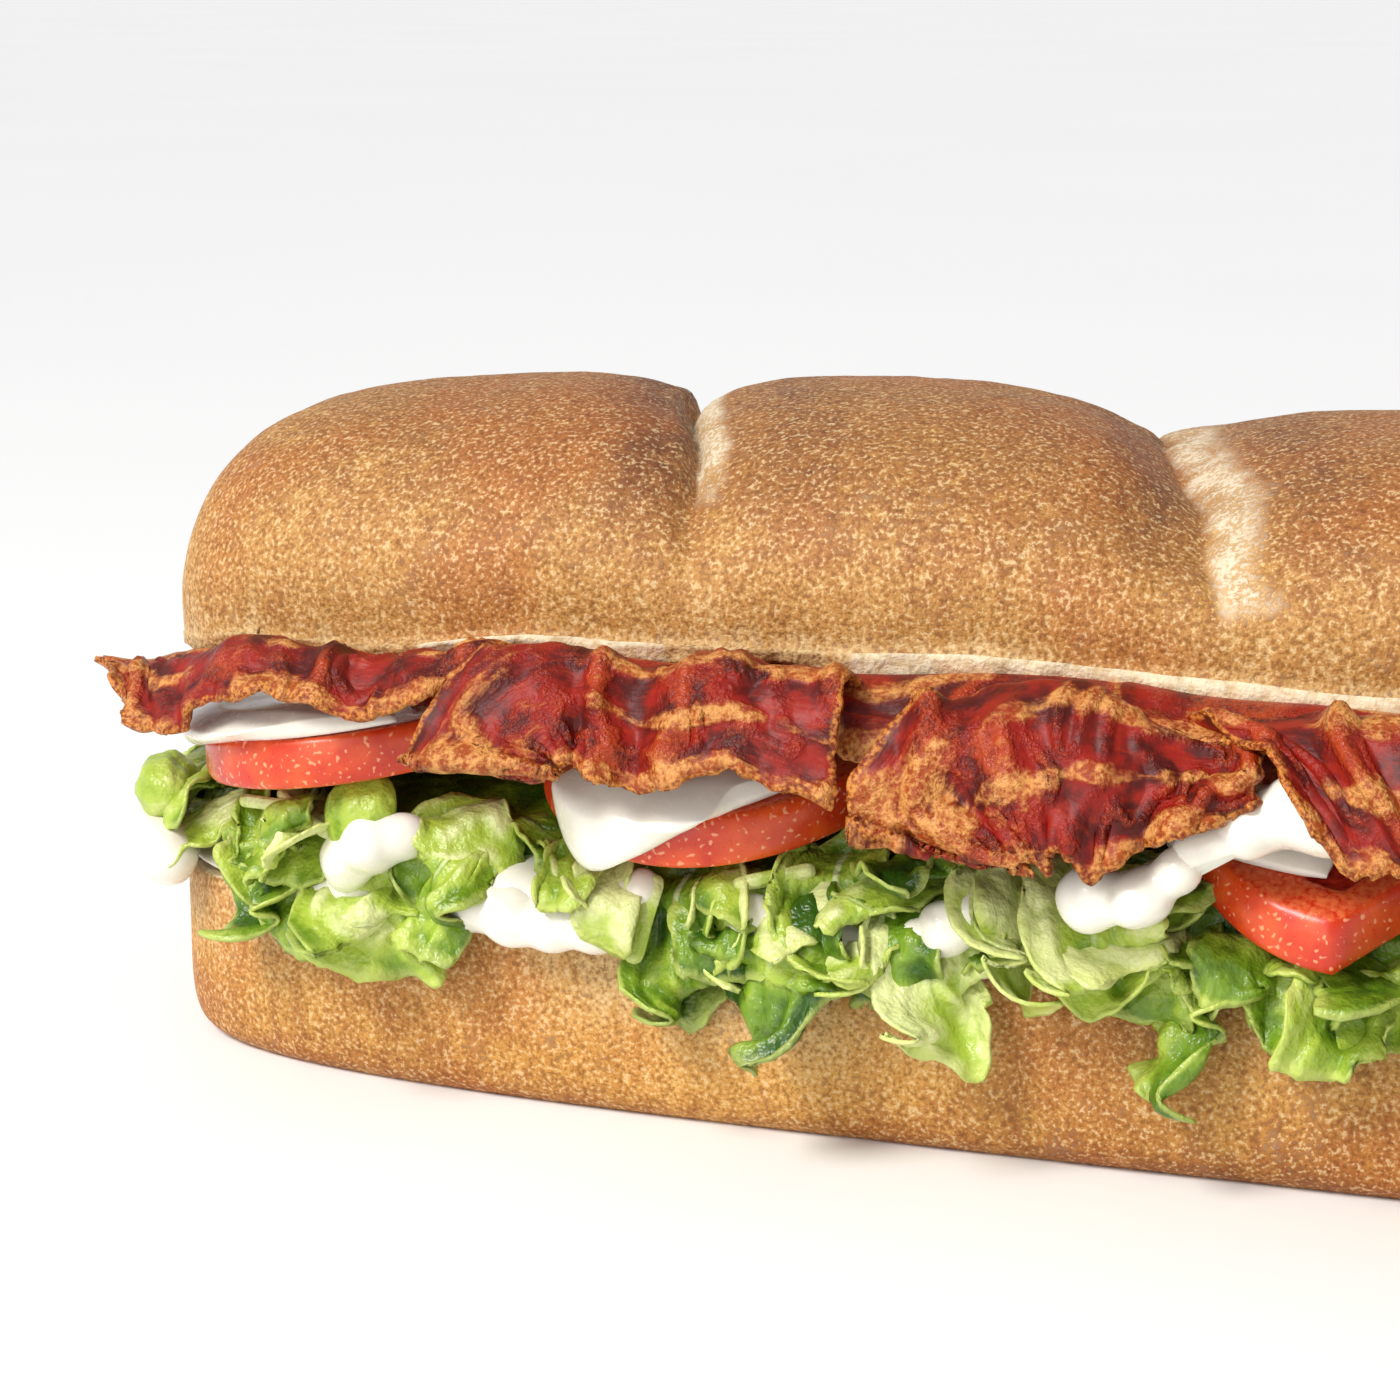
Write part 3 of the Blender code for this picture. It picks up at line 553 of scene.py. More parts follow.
def crumb_surface(t, count):
    """The underside from the +Y edge to the -Y edge, and how far it is crumb (1) or crust (0).

    LIP gives the rounded edge as (share of the half width, drop). Between the edges it is level. The lip
    hangs lower by lip_drop, and noise makes it ragged.
    """
    edge, fall = np.array(LIP).T
    across = np.concatenate([edge, np.linspace(0.85, -0.85, count), -edge[::-1]])[None, :] + 0 * t
    drop = np.concatenate([fall, np.full(count, -2.5), fall[::-1]])[None, :] + 0 * t
    y = half_width_at(t) * across
    x = skewed(t, y)
    hang = np.where(across < 0, lip_drop(x, -1), lip_drop(x, 1))
    lip = smoothstep(0.86, 0.94, np.abs(across))
    low = smoothstep(0.0, -2.1, drop) * lip
    under = stacked(x, y, edge_between(x, across) + drop - hang * low)
    ragged = fractal(stacked(x, across * 40, 0 * x), 6.0, 4, 4)
    under[..., 2] += low * 0.95 * ragged + (1 - lip) * 0.3 * ragged
    under[..., 1] += np.sign(across) * lip * (0.5 * fractal(under, 3.0, 3, 6) - 0.3)
    along = -x * np.sign(across)
    near_end = smoothstep(-114, -106, along) * smoothstep(-76, -82, along)
    pale_lip = np.maximum(near_end, smoothstep(-61, -53, along))
    return under, (1 - lip * (1 - pale_lip)) * smoothstep(*END_FADE, np.abs(t))


# %% [markdown]
# ## Crust and crumb in one body
#
# The crust and the crumb meet at the lip, so they are made as one body and can't come apart. Every
# cross-section is a closed ring: the dome first, then the lip and the underside. The rings are closed by a
# point at each end of the roll.


# %% Build the top half
def make_top():
    """The crust over the dome and the crumb below it, closed into one body."""
    t = top_sections(int(500 * DETAIL))
    crust, bake, torn = crust_surface(t, int(140 * DETAIL))
    under, crumb = crumb_surface(t, int(40 * DETAIL))
    rings = np.concatenate([crust, under], 1)
    zero = 0 * crumb
    values = {
        "bake": cap_values(np.concatenate([bake, zero], 1)),
        "torn": cap_values(np.concatenate([torn, zero], 1)),
        "crumb": cap_values(np.concatenate([0 * bake, crumb], 1)),
    }
    piece = make_piece("top_of_the_roll", cap_points(rings), ring_faces(*rings.shape[:2]), bread, values)
    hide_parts("bread_top")
    return piece


top_half = make_top()
print("top half:", len(top_half.data.polygons), "triangles")

# %% [markdown]
# ## The bottom half of the roll
#
# The bottom half was cut level and stood on a flat tin. Its cut face is flat and pale. Below it the crust
# goes down almost straight and turns under with a small radius, so a superellipse with a high power fits
# it, where an ellipse would be too round.

# %% Bottom half
CUT_HEIGHT, BASE_DEPTH, BASE_POWER, BASE_END_POWER = 22.0, 23.6, 8.0, 13.0


def make_bottom():
    """The cut face from -Y to +Y, then the crust under it back to the start."""
    n_along, n_cut, n_under = int(480 * DETAIL), int(24 * DETAIL), int(140 * DETAIL)
    t = LAST_SECTION * np.sin(np.linspace(-1, 1, n_along) * math.pi / 2)[:, None]
    half = half_width_at(t)
    rise = (1 - np.abs(t / HALF_LENGTH) ** BASE_END_POWER) ** (1 / BASE_END_POWER)
    across = np.linspace(-0.955, 0.955, n_cut)[None, :] + 0 * t
    cut = stacked(t, half * across, CUT_HEIGHT - 0.15 + 0 * across)
    round_under = np.linspace(0.02, math.pi - 0.02, n_under)
    turn = np.concatenate([[-0.018, 0.0], round_under, [math.pi, math.pi + 0.018]])[None, :] + 0 * t
    inner = np.clip(turn, 0, math.pi)
    across = power(np.cos(inner), 2 / BASE_POWER) * (1 - 0.8 * np.abs(turn - inner))
    depth = np.abs(np.sin(inner)) ** (2 / BASE_POWER)
    x, y = t + 0 * turn, half * across
    z = CUT_HEIGHT - 0.8 - (BASE_DEPTH - 0.8) * depth * rise + 35.0 * np.abs(turn - inner)
    place = stacked(x, y, z)
    side = smoothstep(0.0, 4.0, z)
    skin = 0.5 * fractal(place, 24.0, 2, 11) + 0.16 * fractal(place * (1, 1, 0.4), 5.0, 3, 12) - 0.35
    dents = smoothstep(6, 20, z) * 0.45 * power(np.clip(noise(place * (1, 0.3, 0.16), 3.0, 19), 0, 1), 1.4)
    outwards = stacked(x * 0, np.sign(y) * smoothstep(0, 4, np.abs(y)), 0 * z)
    crust = place + outwards * (side * (skin - dents))[..., None]
    wavy = 0.3 * smoothstep(16, 22, z) * fractal(place, 9.0, 2, 13)
    crust[..., 2] = np.clip(crust[..., 2] + wavy, 0.0, CUT_HEIGHT - 0.1)
    bake = 0.48 - 0.36 * smoothstep(4, 19, z) + 0.3 * smoothstep(6, 0, z)
    bake = bake - 0.12 * smoothstep(-115, -145, x) - 0.24 * bell(x, -78, 24) + 0.14 * smoothstep(-50, -10, x)
    inside = smoothstep(*END_FADE, np.abs(t))
    rings = np.concatenate([cut, crust], 1)
    zero = 0 * cut[..., 0]
    values = {
        "bake": cap_values(np.concatenate([zero, bake], 1)),
        "torn": cap_values(np.concatenate([zero, 0 * bake], 1)),
        "crumb": cap_values(np.concatenate([zero + inside, 0 * bake], 1)),
        "warm": cap_values(np.concatenate([zero, smoothstep(24, 6, z)], 1)),
    }
    piece = make_piece("bottom_of_the_roll", cap_points(rings), ring_faces(*rings.shape[:2]), bread, values)
    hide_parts("bread_bottom")
    return piece


bottom_half = make_bottom()
print("bottom half:", len(bottom_half.data.polygons), "triangles")

# %% [markdown]
# ## Tomato
#
# A ripe slice is soft enough to droop over the edge of the roll, and it may lean along it. A bent cylinder
# would do from afar. Here the disc is worked out in rings, so that its rim is smooth skin, and on its faces
# a ring of firm flesh and spokes stand a little proud of the wet seed chambers.

# %% Tomato slices
TOMATO_THICK, BEND_START, BEND_SPAN = 6.0, 8.0, 38.0
UNCUT = 99.0
# centre X and Y, height, radius, droop, rise along X, distance of a straight cut and where it faces
TOMATOES = {
    "a": (-120.5, -22.5, 41.8, 21.0, 0.5, 0.15, UNCUT, 0.0),
    "b": (-75.5, -24.5, 43.0, 21.3, 7.0, 0.0, UNCUT, 0.0),
    "c": (0.0, -25.0, 43.0, 21.5, 12.0, -0.03, 14.1, 315.0),
    "d": (42.0, -24.0, 43.0, 18.5, 6.0, 0.04, UNCUT, 0.0),
    "e": (82.5, -24.5, 43.0, 20.5, 8.0, 0.0, UNCUT, 0.0),
    "f": (124.0, -22.0, 42.3, 19.5, 3.0, -0.12, UNCUT, 0.0),
}


def droop_of(y, droop):
    """How far a slice sinks below its middle height: the square of the distance past BEND_START."""
    s = np.clip((-y - BEND_START) / BEND_SPAN, 0.0, 1.3)
    return droop * s * s


def tomato_point(key, angle, radius, height):
    """A point of a slice: angle from +X, distance from the centre, height above the middle plane."""
    cx, cy, middle, _, droop, rise, _, _ = TOMATOES[key]
    x, y = cx + radius * np.cos(angle), cy + radius * np.sin(angle)
    return stacked(x, y, middle + height - droop_of(y, droop) + rise * (x - cx))


def tomato_radius(key, angle):
    """The rim: a little uneven, and shorter where the straight cut is."""
    cx, _, _, radius, _, _, cut, facing = TOMATOES[key]
    uneven = radius * (1 + 0.015 * np.sin(2 * angle + cx) + 0.01 * np.sin(3 * angle))
    towards = np.cos(angle - math.radians(facing))
    return np.where(towards > 0.01, np.minimum(uneven, cut / np.maximum(towards, 0.01)), uneven)


# %% [markdown]
# ## Tomato colours
#
# The skin is smooth, deep red and wet, with small pale specks that are painted glints. The cut face shows
# paler flesh round dark jelly. Pictures could be mapped on, but the stored values `skin`, `gel` and `seed`
# follow the shape exactly. A thin coat over a low roughness makes it look wet.


# %% Tomato material
def tomato_material():
    """The face mixes flesh, jelly and seeds by their values; the rim takes the skin."""
    g = Graph("ripe tomato", Roughness=0.2, Specular_IOR_Level=0.5, Coat_Weight=0.15)
    g.shader.inputs["Coat Roughness"].default_value = 0.12
    fine, middle = g.grain(0.7, 3.0), g.grain(5.0, 3.0)
    # painted highlights: small pale specks on the skin stand for glints of light
    painted_glint_specks = g.grain(0.6, 0.0).step(0.66, 0.76)
    skin = g.mix(middle.step(0.35, 0.7), colour("C8300F"), colour("E2551F"))
    skin = g.mix(painted_glint_specks * 0.7, skin, colour("F4AE80"))
    flesh = g.mix(fine.step(0.3, 0.7), colour("CB3316"), colour("E5703F"))
    gel = g.mix(fine.step(0.35, 0.65), colour("8A1208"), colour("BC2E16"))
    face = g.mix(g.value("gel").step(0.3, 0.6), flesh, gel)
    face = g.mix(g.value("seed").step(0.4, 0.6), face, colour("E9B878"))
    body = g.mix(g.value("skin").step(0.3, 0.7), face, skin)
    height = middle * 0.4 + fine * 0.25 * (1.0 - g.value("skin")) + g.value("seed") * 0.8 + painted_glint_specks * 0.1
    rough = 0.2 + fine * 0.2
    return g.wire(Base_Color=body, Roughness=rough, Normal=g.bump(height, 0.35, 0.6))


tomato = tomato_material()
print("tomato material:", len(tomato.node_tree.nodes), "nodes")


# %% Build the slices
def make_tomato(key, side, word):
    """Rings from the middle of the lower face round the rim to the middle of the upper face."""
    n_turn, n_face, n_rim = int(110 * DETAIL), int(26 * DETAIL), int(18 * DETAIL)
    angle = np.linspace(0, 2 * math.pi, n_turn, endpoint=False)[None, :]
    flat = np.linspace(0.03, 0.935, n_face)
    bulge = np.linspace(-math.pi / 2, math.pi / 2, n_rim + 2)[1:-1]
    share = np.concatenate([flat, 0.94 + 0.06 * np.cos(bulge) ** 0.6, flat[::-1]])[:, None]
    up = np.concatenate([0 * flat - 1, power(np.sin(bulge), 0.75), 0 * flat + 1])[:, None]
    rim = tomato_radius(key, angle)
    x, y = share * np.cos(angle), share * np.sin(angle)
    wall = smoothstep(0.70, 0.78, share + 0.04 * np.sin(5 * angle + 1))
    sixth = (angle / (2 * math.pi) * 6 + 0.2 * share + 0.35) % 1.0
    spoke = smoothstep(0.16, 0.08, np.abs(sixth - 0.5) * share)
    heart = smoothstep(0.34, 0.24, share)
    chamber = (1 - wall) * (1 - spoke) * (1 - heart) * (np.abs(up) > 0.99)
    spots = noise(stacked(x * 20, y * 20, 0 * x), 1.9, int(abs(TOMATOES[key][0])))
    seed = chamber * smoothstep(0.45, 0.62, spots)
    height = TOMATO_THICK / 2 * up - np.sign(up) * 0.75 * chamber + np.sign(up) * 0.4 * seed
    points = tomato_point(key, angle, rim * share, height)
    outwards = stacked(np.cos(angle), np.sin(angle), 0 * angle)
    points = points + 0.12 * noise(points, 6.0, 21)[..., None] * outwards
    skin = smoothstep(0.955, 0.985, share) + 0 * angle
    values = {"skin": cap_values(skin), "gel": cap_values(chamber), "seed": cap_values(seed)}
    faces = ring_faces(*points.shape[:2])[:, ::-1]
    points = cap_points(turned(points, side))
    piece = make_piece(f"dressed_tomato_{key}_{word}", points, faces, tomato, values)
    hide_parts(f"tomato_{key}_{word}")


for side, word in SIDES:
    for key in TOMATOES:
        make_tomato(key, side, word)
print("tomato slices:", 2 * len(TOMATOES))

# %% [markdown]
# ## Mayonnaise
#
# Mayonnaise is thick: it keeps the shape in which it was squeezed, with round edges. One layer lies on the
# cut face of the roll and swells out over its edge in lobes. Dollops lie on the tomatoes, and some run down
# over the rim. Blobs sit between the leaves. Each kind has its own formula, because a layer, a patch and a
# blob have different outlines.

# %% Mayonnaise
GAP, SIDE_GAP, SAUCE_LAYER = 0.35, 0.6, 2.0
LOBE_SWELL, SAUCE_RIM, SAUCE_SETBACK = 4.6, 6.0, 1.4  # of a lobe, of the rim, from the edge
DOLLOPS = {  # slice: first and last angle, how far in, how far over the rim at each end, thickness
    "a": (146.0, 300.0, 13.0, 9.0, -1.5, 2.9),
    "b": (228.0, 314.0, 13.0, 17.0, -3.5, 3.1),
    "c": (182.0, 258.0, 12.0, 15.0, -7.5, 2.6),
    "e": (215.0, 320.0, 13.0, 3.0, 6.0, 2.4),
}
LOBES = (  # place along the outline, half width, swell
    (-120.0, 7.0, 1.0),
    (-94.0, 11.0, 1.0),
    (-66.0, 4.5, 0.9),
    (-48.0, 9.0, 1.0),
    (31.0, 6.5, 1.0),
    (57.0, 6.0, 0.8),
    (92.0, 8.0, 0.9),
    (129.0, 6.0, 0.8),
)


# %% [markdown]
# ## Mayonnaise colours
#
# Mayonnaise is a glossy cream white. Light could be let into it, but that shows little at this size and
# renders slowly. A thin coat gives the gloss, and soft noise varies the tint and the relief, so that it
# doesn't look like plaster.


# %% Mayonnaise material
def sauce_material():
    """A cream tint that varies softly, under a thin coat."""
    g = Graph("mayonnaise", Roughness=0.22, Specular_IOR_Level=0.5, Coat_Weight=0.2)
    soft, fine = g.grain(6.0, 2.0), g.grain(1.2, 2.0)
    tint = g.mix(soft.step(0.3, 0.7), colour("F5EFDF"), colour("FCF8EC"))
    rough = 0.18 + fine * 0.16
    return g.wire(Base_Color=tint, Roughness=rough, Normal=g.bump(soft * 0.8, 0.5, 0.4))


sauce = sauce_material()
print("mayonnaise material:", len(sauce.node_tree.nodes), "nodes")


# %% [markdown]
# ## Dollops and the lower layer
#
# A dollop is two sheets: the lower one follows the slice's face and rim, and the upper one stands off it by
# a dome that falls to nothing at the edge. Sculpting would be quicker for one, but the formula keeps all of
# them on their slices. The lower layer is a set of rings round the outline, which swell where a lobe is.


# %% Dollops
def make_dollop(key, side, word):
    """A patch over a slice and its rim: thick in the middle, round at its edge."""
    first, last, inwards, over_first, over_last, thick = DOLLOPS[key]
    n_u, n_v = int(74 * DETAIL), int(46 * DETAIL)
    u = np.linspace(0, 1, n_u)[:, None]
    v = np.linspace(0, 1, n_v)[None, :] ** 0.9
    wobble = noise(stacked(u * 30, v * 14, 0 * u), 7.0, ord(key))
    angle = np.radians(first + (last - first) * (u + 0.02 * wobble * np.sin(math.pi * u)))
    reach = np.sin(math.pi * (0.03 + 0.94 * u)) ** 0.8 * (1 + 0.16 * wobble)
    over = over_first * (1 - u) ** 2 + over_last * u
    inside = -inwards * (1 - v / 0.7) * reach + np.minimum(over, 0.0)
    outside = np.maximum(over, 0.0) * (v - 0.7) / 0.3 * reach + np.minimum(over, 0.0) * (1 - (v - 0.7))
    run = np.where(v <= 0.7, inside, outside)
    edge = np.sin(math.pi * (0.012 + 0.976 * u)) * np.sin(math.pi * (0.012 + 0.976 * v))
    dome = (thick * (1 + 0.2 * wobble)) * np.clip(edge, 0, 1) ** 0.42 + 0.12
    outwards = smoothstep(-1.5, 0.6, run)
    radius = tomato_radius(key, angle) + np.minimum(run, 0.0) + SIDE_GAP * smoothstep(-1.2, -0.2, run)
    height = TOMATO_THICK / 2 + 0.25 - np.maximum(run, 0.0)
    lower = tomato_point(key, angle, radius, height)
    upper = tomato_point(key, angle, radius + outwards * dome, height + dome * (1 - 0.7 * outwards))
    points = turned(np.concatenate([upper.reshape(-1, 3), lower.reshape(-1, 3)]), side)
    piece = make_piece(f"dressed_mayonnaise_{key}_{word}", points, slab_faces(n_u, n_v)[:, ::-1], sauce)
    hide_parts(f"mayonnaise_{key}_{word}")


# %% Lower layer
def swell_at(p):
    """0 to 1: how far the lower layer swells out at the place p along the outline."""
    total = 0.0
    for place, half, swell in LOBES:
        total = total + swell * np.exp(-(((p - place) / half) ** 4))
    return np.clip(total, 0.0, 1.0)


def swell_round(p):
    """The same for both sides: the far half of the outline repeats the near half."""
    return np.where(np.abs(p) < HALF_WAY / 2, swell_at(p), swell_at(p - np.sign(p) * HALF_WAY))


def make_lower_sauce():
    """Rings that follow the roll's outline, from the layer's underside round its edge to its top."""
    count, levels = int(900 * DETAIL), int(30 * DETAIL)
    p = (np.arange(count) + 0.5) / count * 2 * HALF_WAY - HALF_WAY
    p = p[None, :]
    swell = swell_round(p)
    swell = swell * (1 + 0.25 * noise(stacked(p, 0, 0), 5.0, 31))
    swell = swell + 0.12 * (1 + noise(stacked(p, 0, 3), 7.0, 32))
    low, high = CUT_HEIGHT + 0.1, CUT_HEIGHT + GAP + SAUCE_LAYER
    bulge = np.linspace(0, math.pi, levels)[:, None]
    thick = high - low + LOBE_SWELL * swell
    width = SAUCE_RIM - SAUCE_SETBACK + LOBE_SWELL * swell
    out = -SAUCE_RIM + width * np.abs(np.sin(bulge)) ** 0.7
    sag = 2.0 * swell * smoothstep(0.4, 1.0, np.sin(bulge)) * smoothstep(math.pi, 0.6, bulge)
    z = low + thick * (1 - np.cos(bulge)) / 2 * smoothstep(0, 0.5, bulge) - sag
    z = np.where(out < 0, np.maximum(z, low), z)
    x, y = outline(p, out)
    points = stacked(x, y, z)
    points = np.concatenate([points.reshape(-1, 3), [[0.0, 0.0, low]], [[0.0, 0.0, high]]])
    piece = make_piece("mayonnaise_layer", points, ring_faces(levels, count)[:, ::-1], sauce)
    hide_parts("mayonnaise_lower")


# %% [markdown]
# ## Blobs between the leaves
#
# A blob of mayonnaise is a few round lumps that have run together. Metaballs do that in Blender, but these
# blobs also have to follow the roll's outline, which a formula can do. Each ball pulls less with distance,
# and the blob's surface is where the pulls add up to one. It is found along rays from the middle by halving
# the span again and again.


# %% Blobs between the leaves
LUMPS = (  # each blob: balls with their place along the outline, distance outside it, height and radius
    ((-152.0, 2.8, 25.4, 4.4), (-146.5, 3.6, 25.0, 4.2)),
    ((-114.0, 3.4, 31.5, 4.3), (-117.5, 3.2, 28.3, 3.4), (-109.5, 2.8, 32.6, 2.8)),
    ((-101.0, 2.2, 25.2, 3.2), (-96.0, 2.6, 24.6, 3.4), (-91.0, 2.6, 24.2, 3.2), (-86.0, 2.6, 24.6, 3.5)),
    ((-83.0, 2.4, 26.0, 3.2), (-80.0, 2.0, 29.0, 2.6)),
    ((-67.0, 2.6, 27.2, 2.8), (-62.0, 2.6, 26.6, 3.0)),
    ((-57.0, 2.4, 25.0, 3.2), (-51.5, 3.0, 23.9, 3.4), (-47.5, 3.0, 26.0, 2.9)),
    ((-44.5, 3.4, 28.2, 3.2), (-41.5, 3.0, 30.2, 2.6)),
    ((21.0, 2.4, 25.6, 3.6), (27.0, 2.4, 26.5, 3.2)),
    ((64.0, 2.6, 27.0, 3.4), (68.5, 2.4, 26.0, 3.0)),
    ((111.0, 2.4, 26.5, 3.6), (117.0, 2.2, 26.0, 3.2)),
    ((-27.5, 8.4, 34.5, 3.6), (-22.0, 8.6, 35.3, 3.6), (-18.0, 9.0, 38.6, 2.5)),
    ((-16.0, 8.8, 41.0, 2.6), (-11.0, 8.4, 43.6, 3.5), (-6.0, 8.4, 45.8, 4.0), (-2.5, 8.8, 44.3, 3.0)),
)
HALVINGS, RAY_LENGTH = 14, 22.0


def make_lumps(side, word):
    """Blobs of mayonnaise: in every direction from the middle, the point where the balls' pull falls to 1."""
    rings, sides = int(36 * DETAIL), int(52 * DETAIL)
    polar = np.linspace(0.04, math.pi - 0.04, rings)[:, None]
    turn = np.linspace(0, 2 * math.pi, sides, endpoint=False)[None, :]
    ray = stacked(np.sin(polar) * np.cos(turn), -np.sin(polar) * np.sin(turn), np.cos(polar) + 0 * turn)
    parts = []
    for i, balls in enumerate(LUMPS):
        balls = np.array(balls, float)
        middle = balls[:, :3].mean(0)
        near, far = np.zeros(ray.shape[:2]), np.full(ray.shape[:2], RAY_LENGTH)
        for _ in range(HALVINGS):
            half = (near + far) / 2
            spot = middle + ray * half[..., None]
            spot = spot + 0.9 * noise(spot, 4.5, 50 + i)[..., None] * ray
            away = np.linalg.norm(spot[..., None, :] - balls[:, :3], axis=-1) / balls[:, 3]
            inside = np.exp(2.2 * (1 - away**2)).sum(-1) > 1
            near, far = np.where(inside, half, near), np.where(inside, far, half)
        spot = middle + ray * near[..., None]
        x, y = outline(spot[..., 0], spot[..., 1])
        parts.append((cap_points(stacked(x, y, spot[..., 2])), ring_faces(rings, sides), {}))
    points, faces, _ = gather(parts)
    make_piece(f"mayonnaise_lumps_{word}", turned(points, side), faces, sauce)


make_lower_sauce()
for side, word in SIDES:
    make_lumps(side, word)
    for key in DOLLOPS:
        make_dollop(key, side, word)
print("dollops:", 2 * len(DOLLOPS), "lumps:", 2 * len(LUMPS))

# %% [markdown]
# ## Bacon
#
# A fried strip shrinks unevenly, so it is full of hollows with crooked ridges between them, and its edges
# ruffle. Cloth simulation could drape it, but formulas keep every strip where the picture has it. All
# strips lie on one draped surface that comes out from under the crust and hangs down. Bands of fat run
# along a strip and wander.

# %% Bacon shape
BACON_THICK, INNER_LEVEL = 1.5, -3.3
INNER_GAP, INNER_HANG = (-53.0, 7.0), 7.0  # between strips 2 and 3, the strip behind hangs lower
TUCKED, LOW_DRAPE = -1.9, 1.8
DRAPE_TURNS_IN = 145.0  # past this, the drape follows a slant and not the outline
STRIP_LENGTH, STRIP_WIDTH, STRIP_SEED = 62.0, 21.0, 3
FAT_BANDS = ((0.03, 0.06), (0.3, 0.05), (0.62, 0.04), (0.96, 0.08))  # place across the strip, width
DRAPE_Q = (0.0, 24.0, 30.5, 35.0, 39.0, 43.0, 48.0, 56.0)
DRAPE_Y = (-12.0, -36.0, -41.6, -45.6, -49.0, -51.0, -52.2, -53.0)
DRAPE_Z = (52.2, 52.2, 54.6, 55.4, 53.0, 49.2, 43.9, 35.9)
BACON = {  # kind, first and last X, first and last distance along the drape
    "1": ("left_tip", -157.5, -92.0, 24.0, 43.0),
    "2": ("fan", -105.5, -54.5, 30.5, 50.0),
    "3": ("fan", -52.5, -10.0, 30.5, 51.0),
    "4": ("slanted", -20.5, 38.0, 29.5, 49.0),
    "5": ("fan", 40.5, 88.0, 30.5, 51.0),
    "6": ("right_tip", 91.0, 149.0, 25.0, 45.0),
    "7": ("inner", -88.0, -19.0, 12.0, 37.0),
    "8": ("inner", -25.0, 30.0, 12.0, 36.0),
    "9": ("inner", 27.0, 97.0, 12.0, 36.0),
}
STRIP_SLANTS = {
    "left_tip": (8.0, -5.0),
    "right_tip": (2.0, -4.0),
    "slanted": (18.0, 0.0),
    "inner": (-3.0, 0.0),
}
RAGGED = (
    (-158, 0), (-143, 2.0), (-132, -2.5), (-120, -3.0), (-111, -2.0), (-102, -3.5), (-97, -6.0),
    (-87, -4.5), (-77, -1.5), (-66, -5.0), (-54, 0), (-43, 1.5), (-37, 0), (-26, 1.0),
    (-20, -3.0), (-9, -8.0), (0, 0.5), (14, 1.5), (26, -1.5), (38, 1.0), (64, -2),
)


# %% Drape
def bacon_wave(x, q):
    """How far the bacon stands off its drape: a broad wave, only outwards where it hangs."""
    broad = 0.5 + 0.5 * np.sin(x / 5.3 + 0.6)
    inside = 0.3 * np.sin(x / 6.5) * smoothstep(30, 20, q)
    return smoothstep(26, 37, q) * (0.85 + 1.5 * broad) + inside


def end_shift(x):
    """How far the drape moves in towards the centre line where the roll narrows to its ends."""
    kept = np.minimum(np.abs(x), DRAPE_TURNS_IN)
    return 0.9 * (HALF_WIDTH - half_width_at(kept)) + 0.35 * (np.abs(x) - kept)


def drape(x, q, level):
    """The draped surface at X and distance q, lifted along its normal by level and the wave."""
    y, z = through(DRAPE_Q, DRAPE_Y, q), through(DRAPE_Q, DRAPE_Z, q)
    dy = through(DRAPE_Q, DRAPE_Y, q + 0.5) - through(DRAPE_Q, DRAPE_Y, q - 0.5)
    dz = through(DRAPE_Q, DRAPE_Z, q + 0.5) - through(DRAPE_Q, DRAPE_Z, q - 0.5)
    size = np.hypot(dy, dz)
    out = bacon_wave(x, q) + level
    lower_end = 3.4 * smoothstep(-94, -114, x) + 4.5 * smoothstep(-122, -152, x)
    z = z - lower_end * smoothstep(16, 32, q) - LOW_DRAPE * smoothstep(-34, -16, x) * smoothstep(27, 33, q)
    return stacked(x, y + out * dz / size + end_shift(x), z - out * dy / size)


# %% Where the strips lie
def bacon_place(key, s, v):
    """X and distance along the drape for s along a strip and v across it."""
    kind, x0, x1, q0, q1 = BACON[key]
    middle, half = (q0 + q1) / 2, (q1 - q0) / 2
    if kind == "fan":
        turn_radius = half + 2.0
        xa, qa = x0 + turn_radius + half, q0 + half + turn_radius
        arc = turn_radius * math.pi / 2
        run = s * (arc + x1 - xa)
        turn = np.clip(run / turn_radius, 0.3 if key == "2" else 0.12, math.pi / 2)
        radius = turn_radius + half * (1 - 2 * v)
        x = xa - radius * np.cos(turn) + np.maximum(run - arc, 0)
        q = qa - radius * np.sin(turn)
    else:
        first, last = STRIP_SLANTS[kind]
        x = x0 + (x1 - x0) * s + v * (first * (1 - s) + last * s)
        narrow = 1.0
        if kind == "left_tip":
            narrow = smoothstep(-0.14, 0.24, s)
        if kind == "right_tip":
            narrow = smoothstep(1.4, 0.7, s)
        q = middle + (2 * v - 1) * half * narrow
    if kind == "inner":
        q = q + INNER_HANG * bell(x, *INNER_GAP) * v * v
    else:
        places, amounts = zip(*RAGGED)
        q = q + np.interp(x, places, amounts) * v * v
    return x, q


# %% [markdown]
# ## Bacon colours
#
# Lean meat fries to a dark, shiny red, fat to golden brown, and the edges turn crisp. Painting would do for
# one strip, but there are eighteen. Each strip stores how far along and across it a point lies, so that
# fibres and patches follow it, and a number that gives it a pattern of its own.


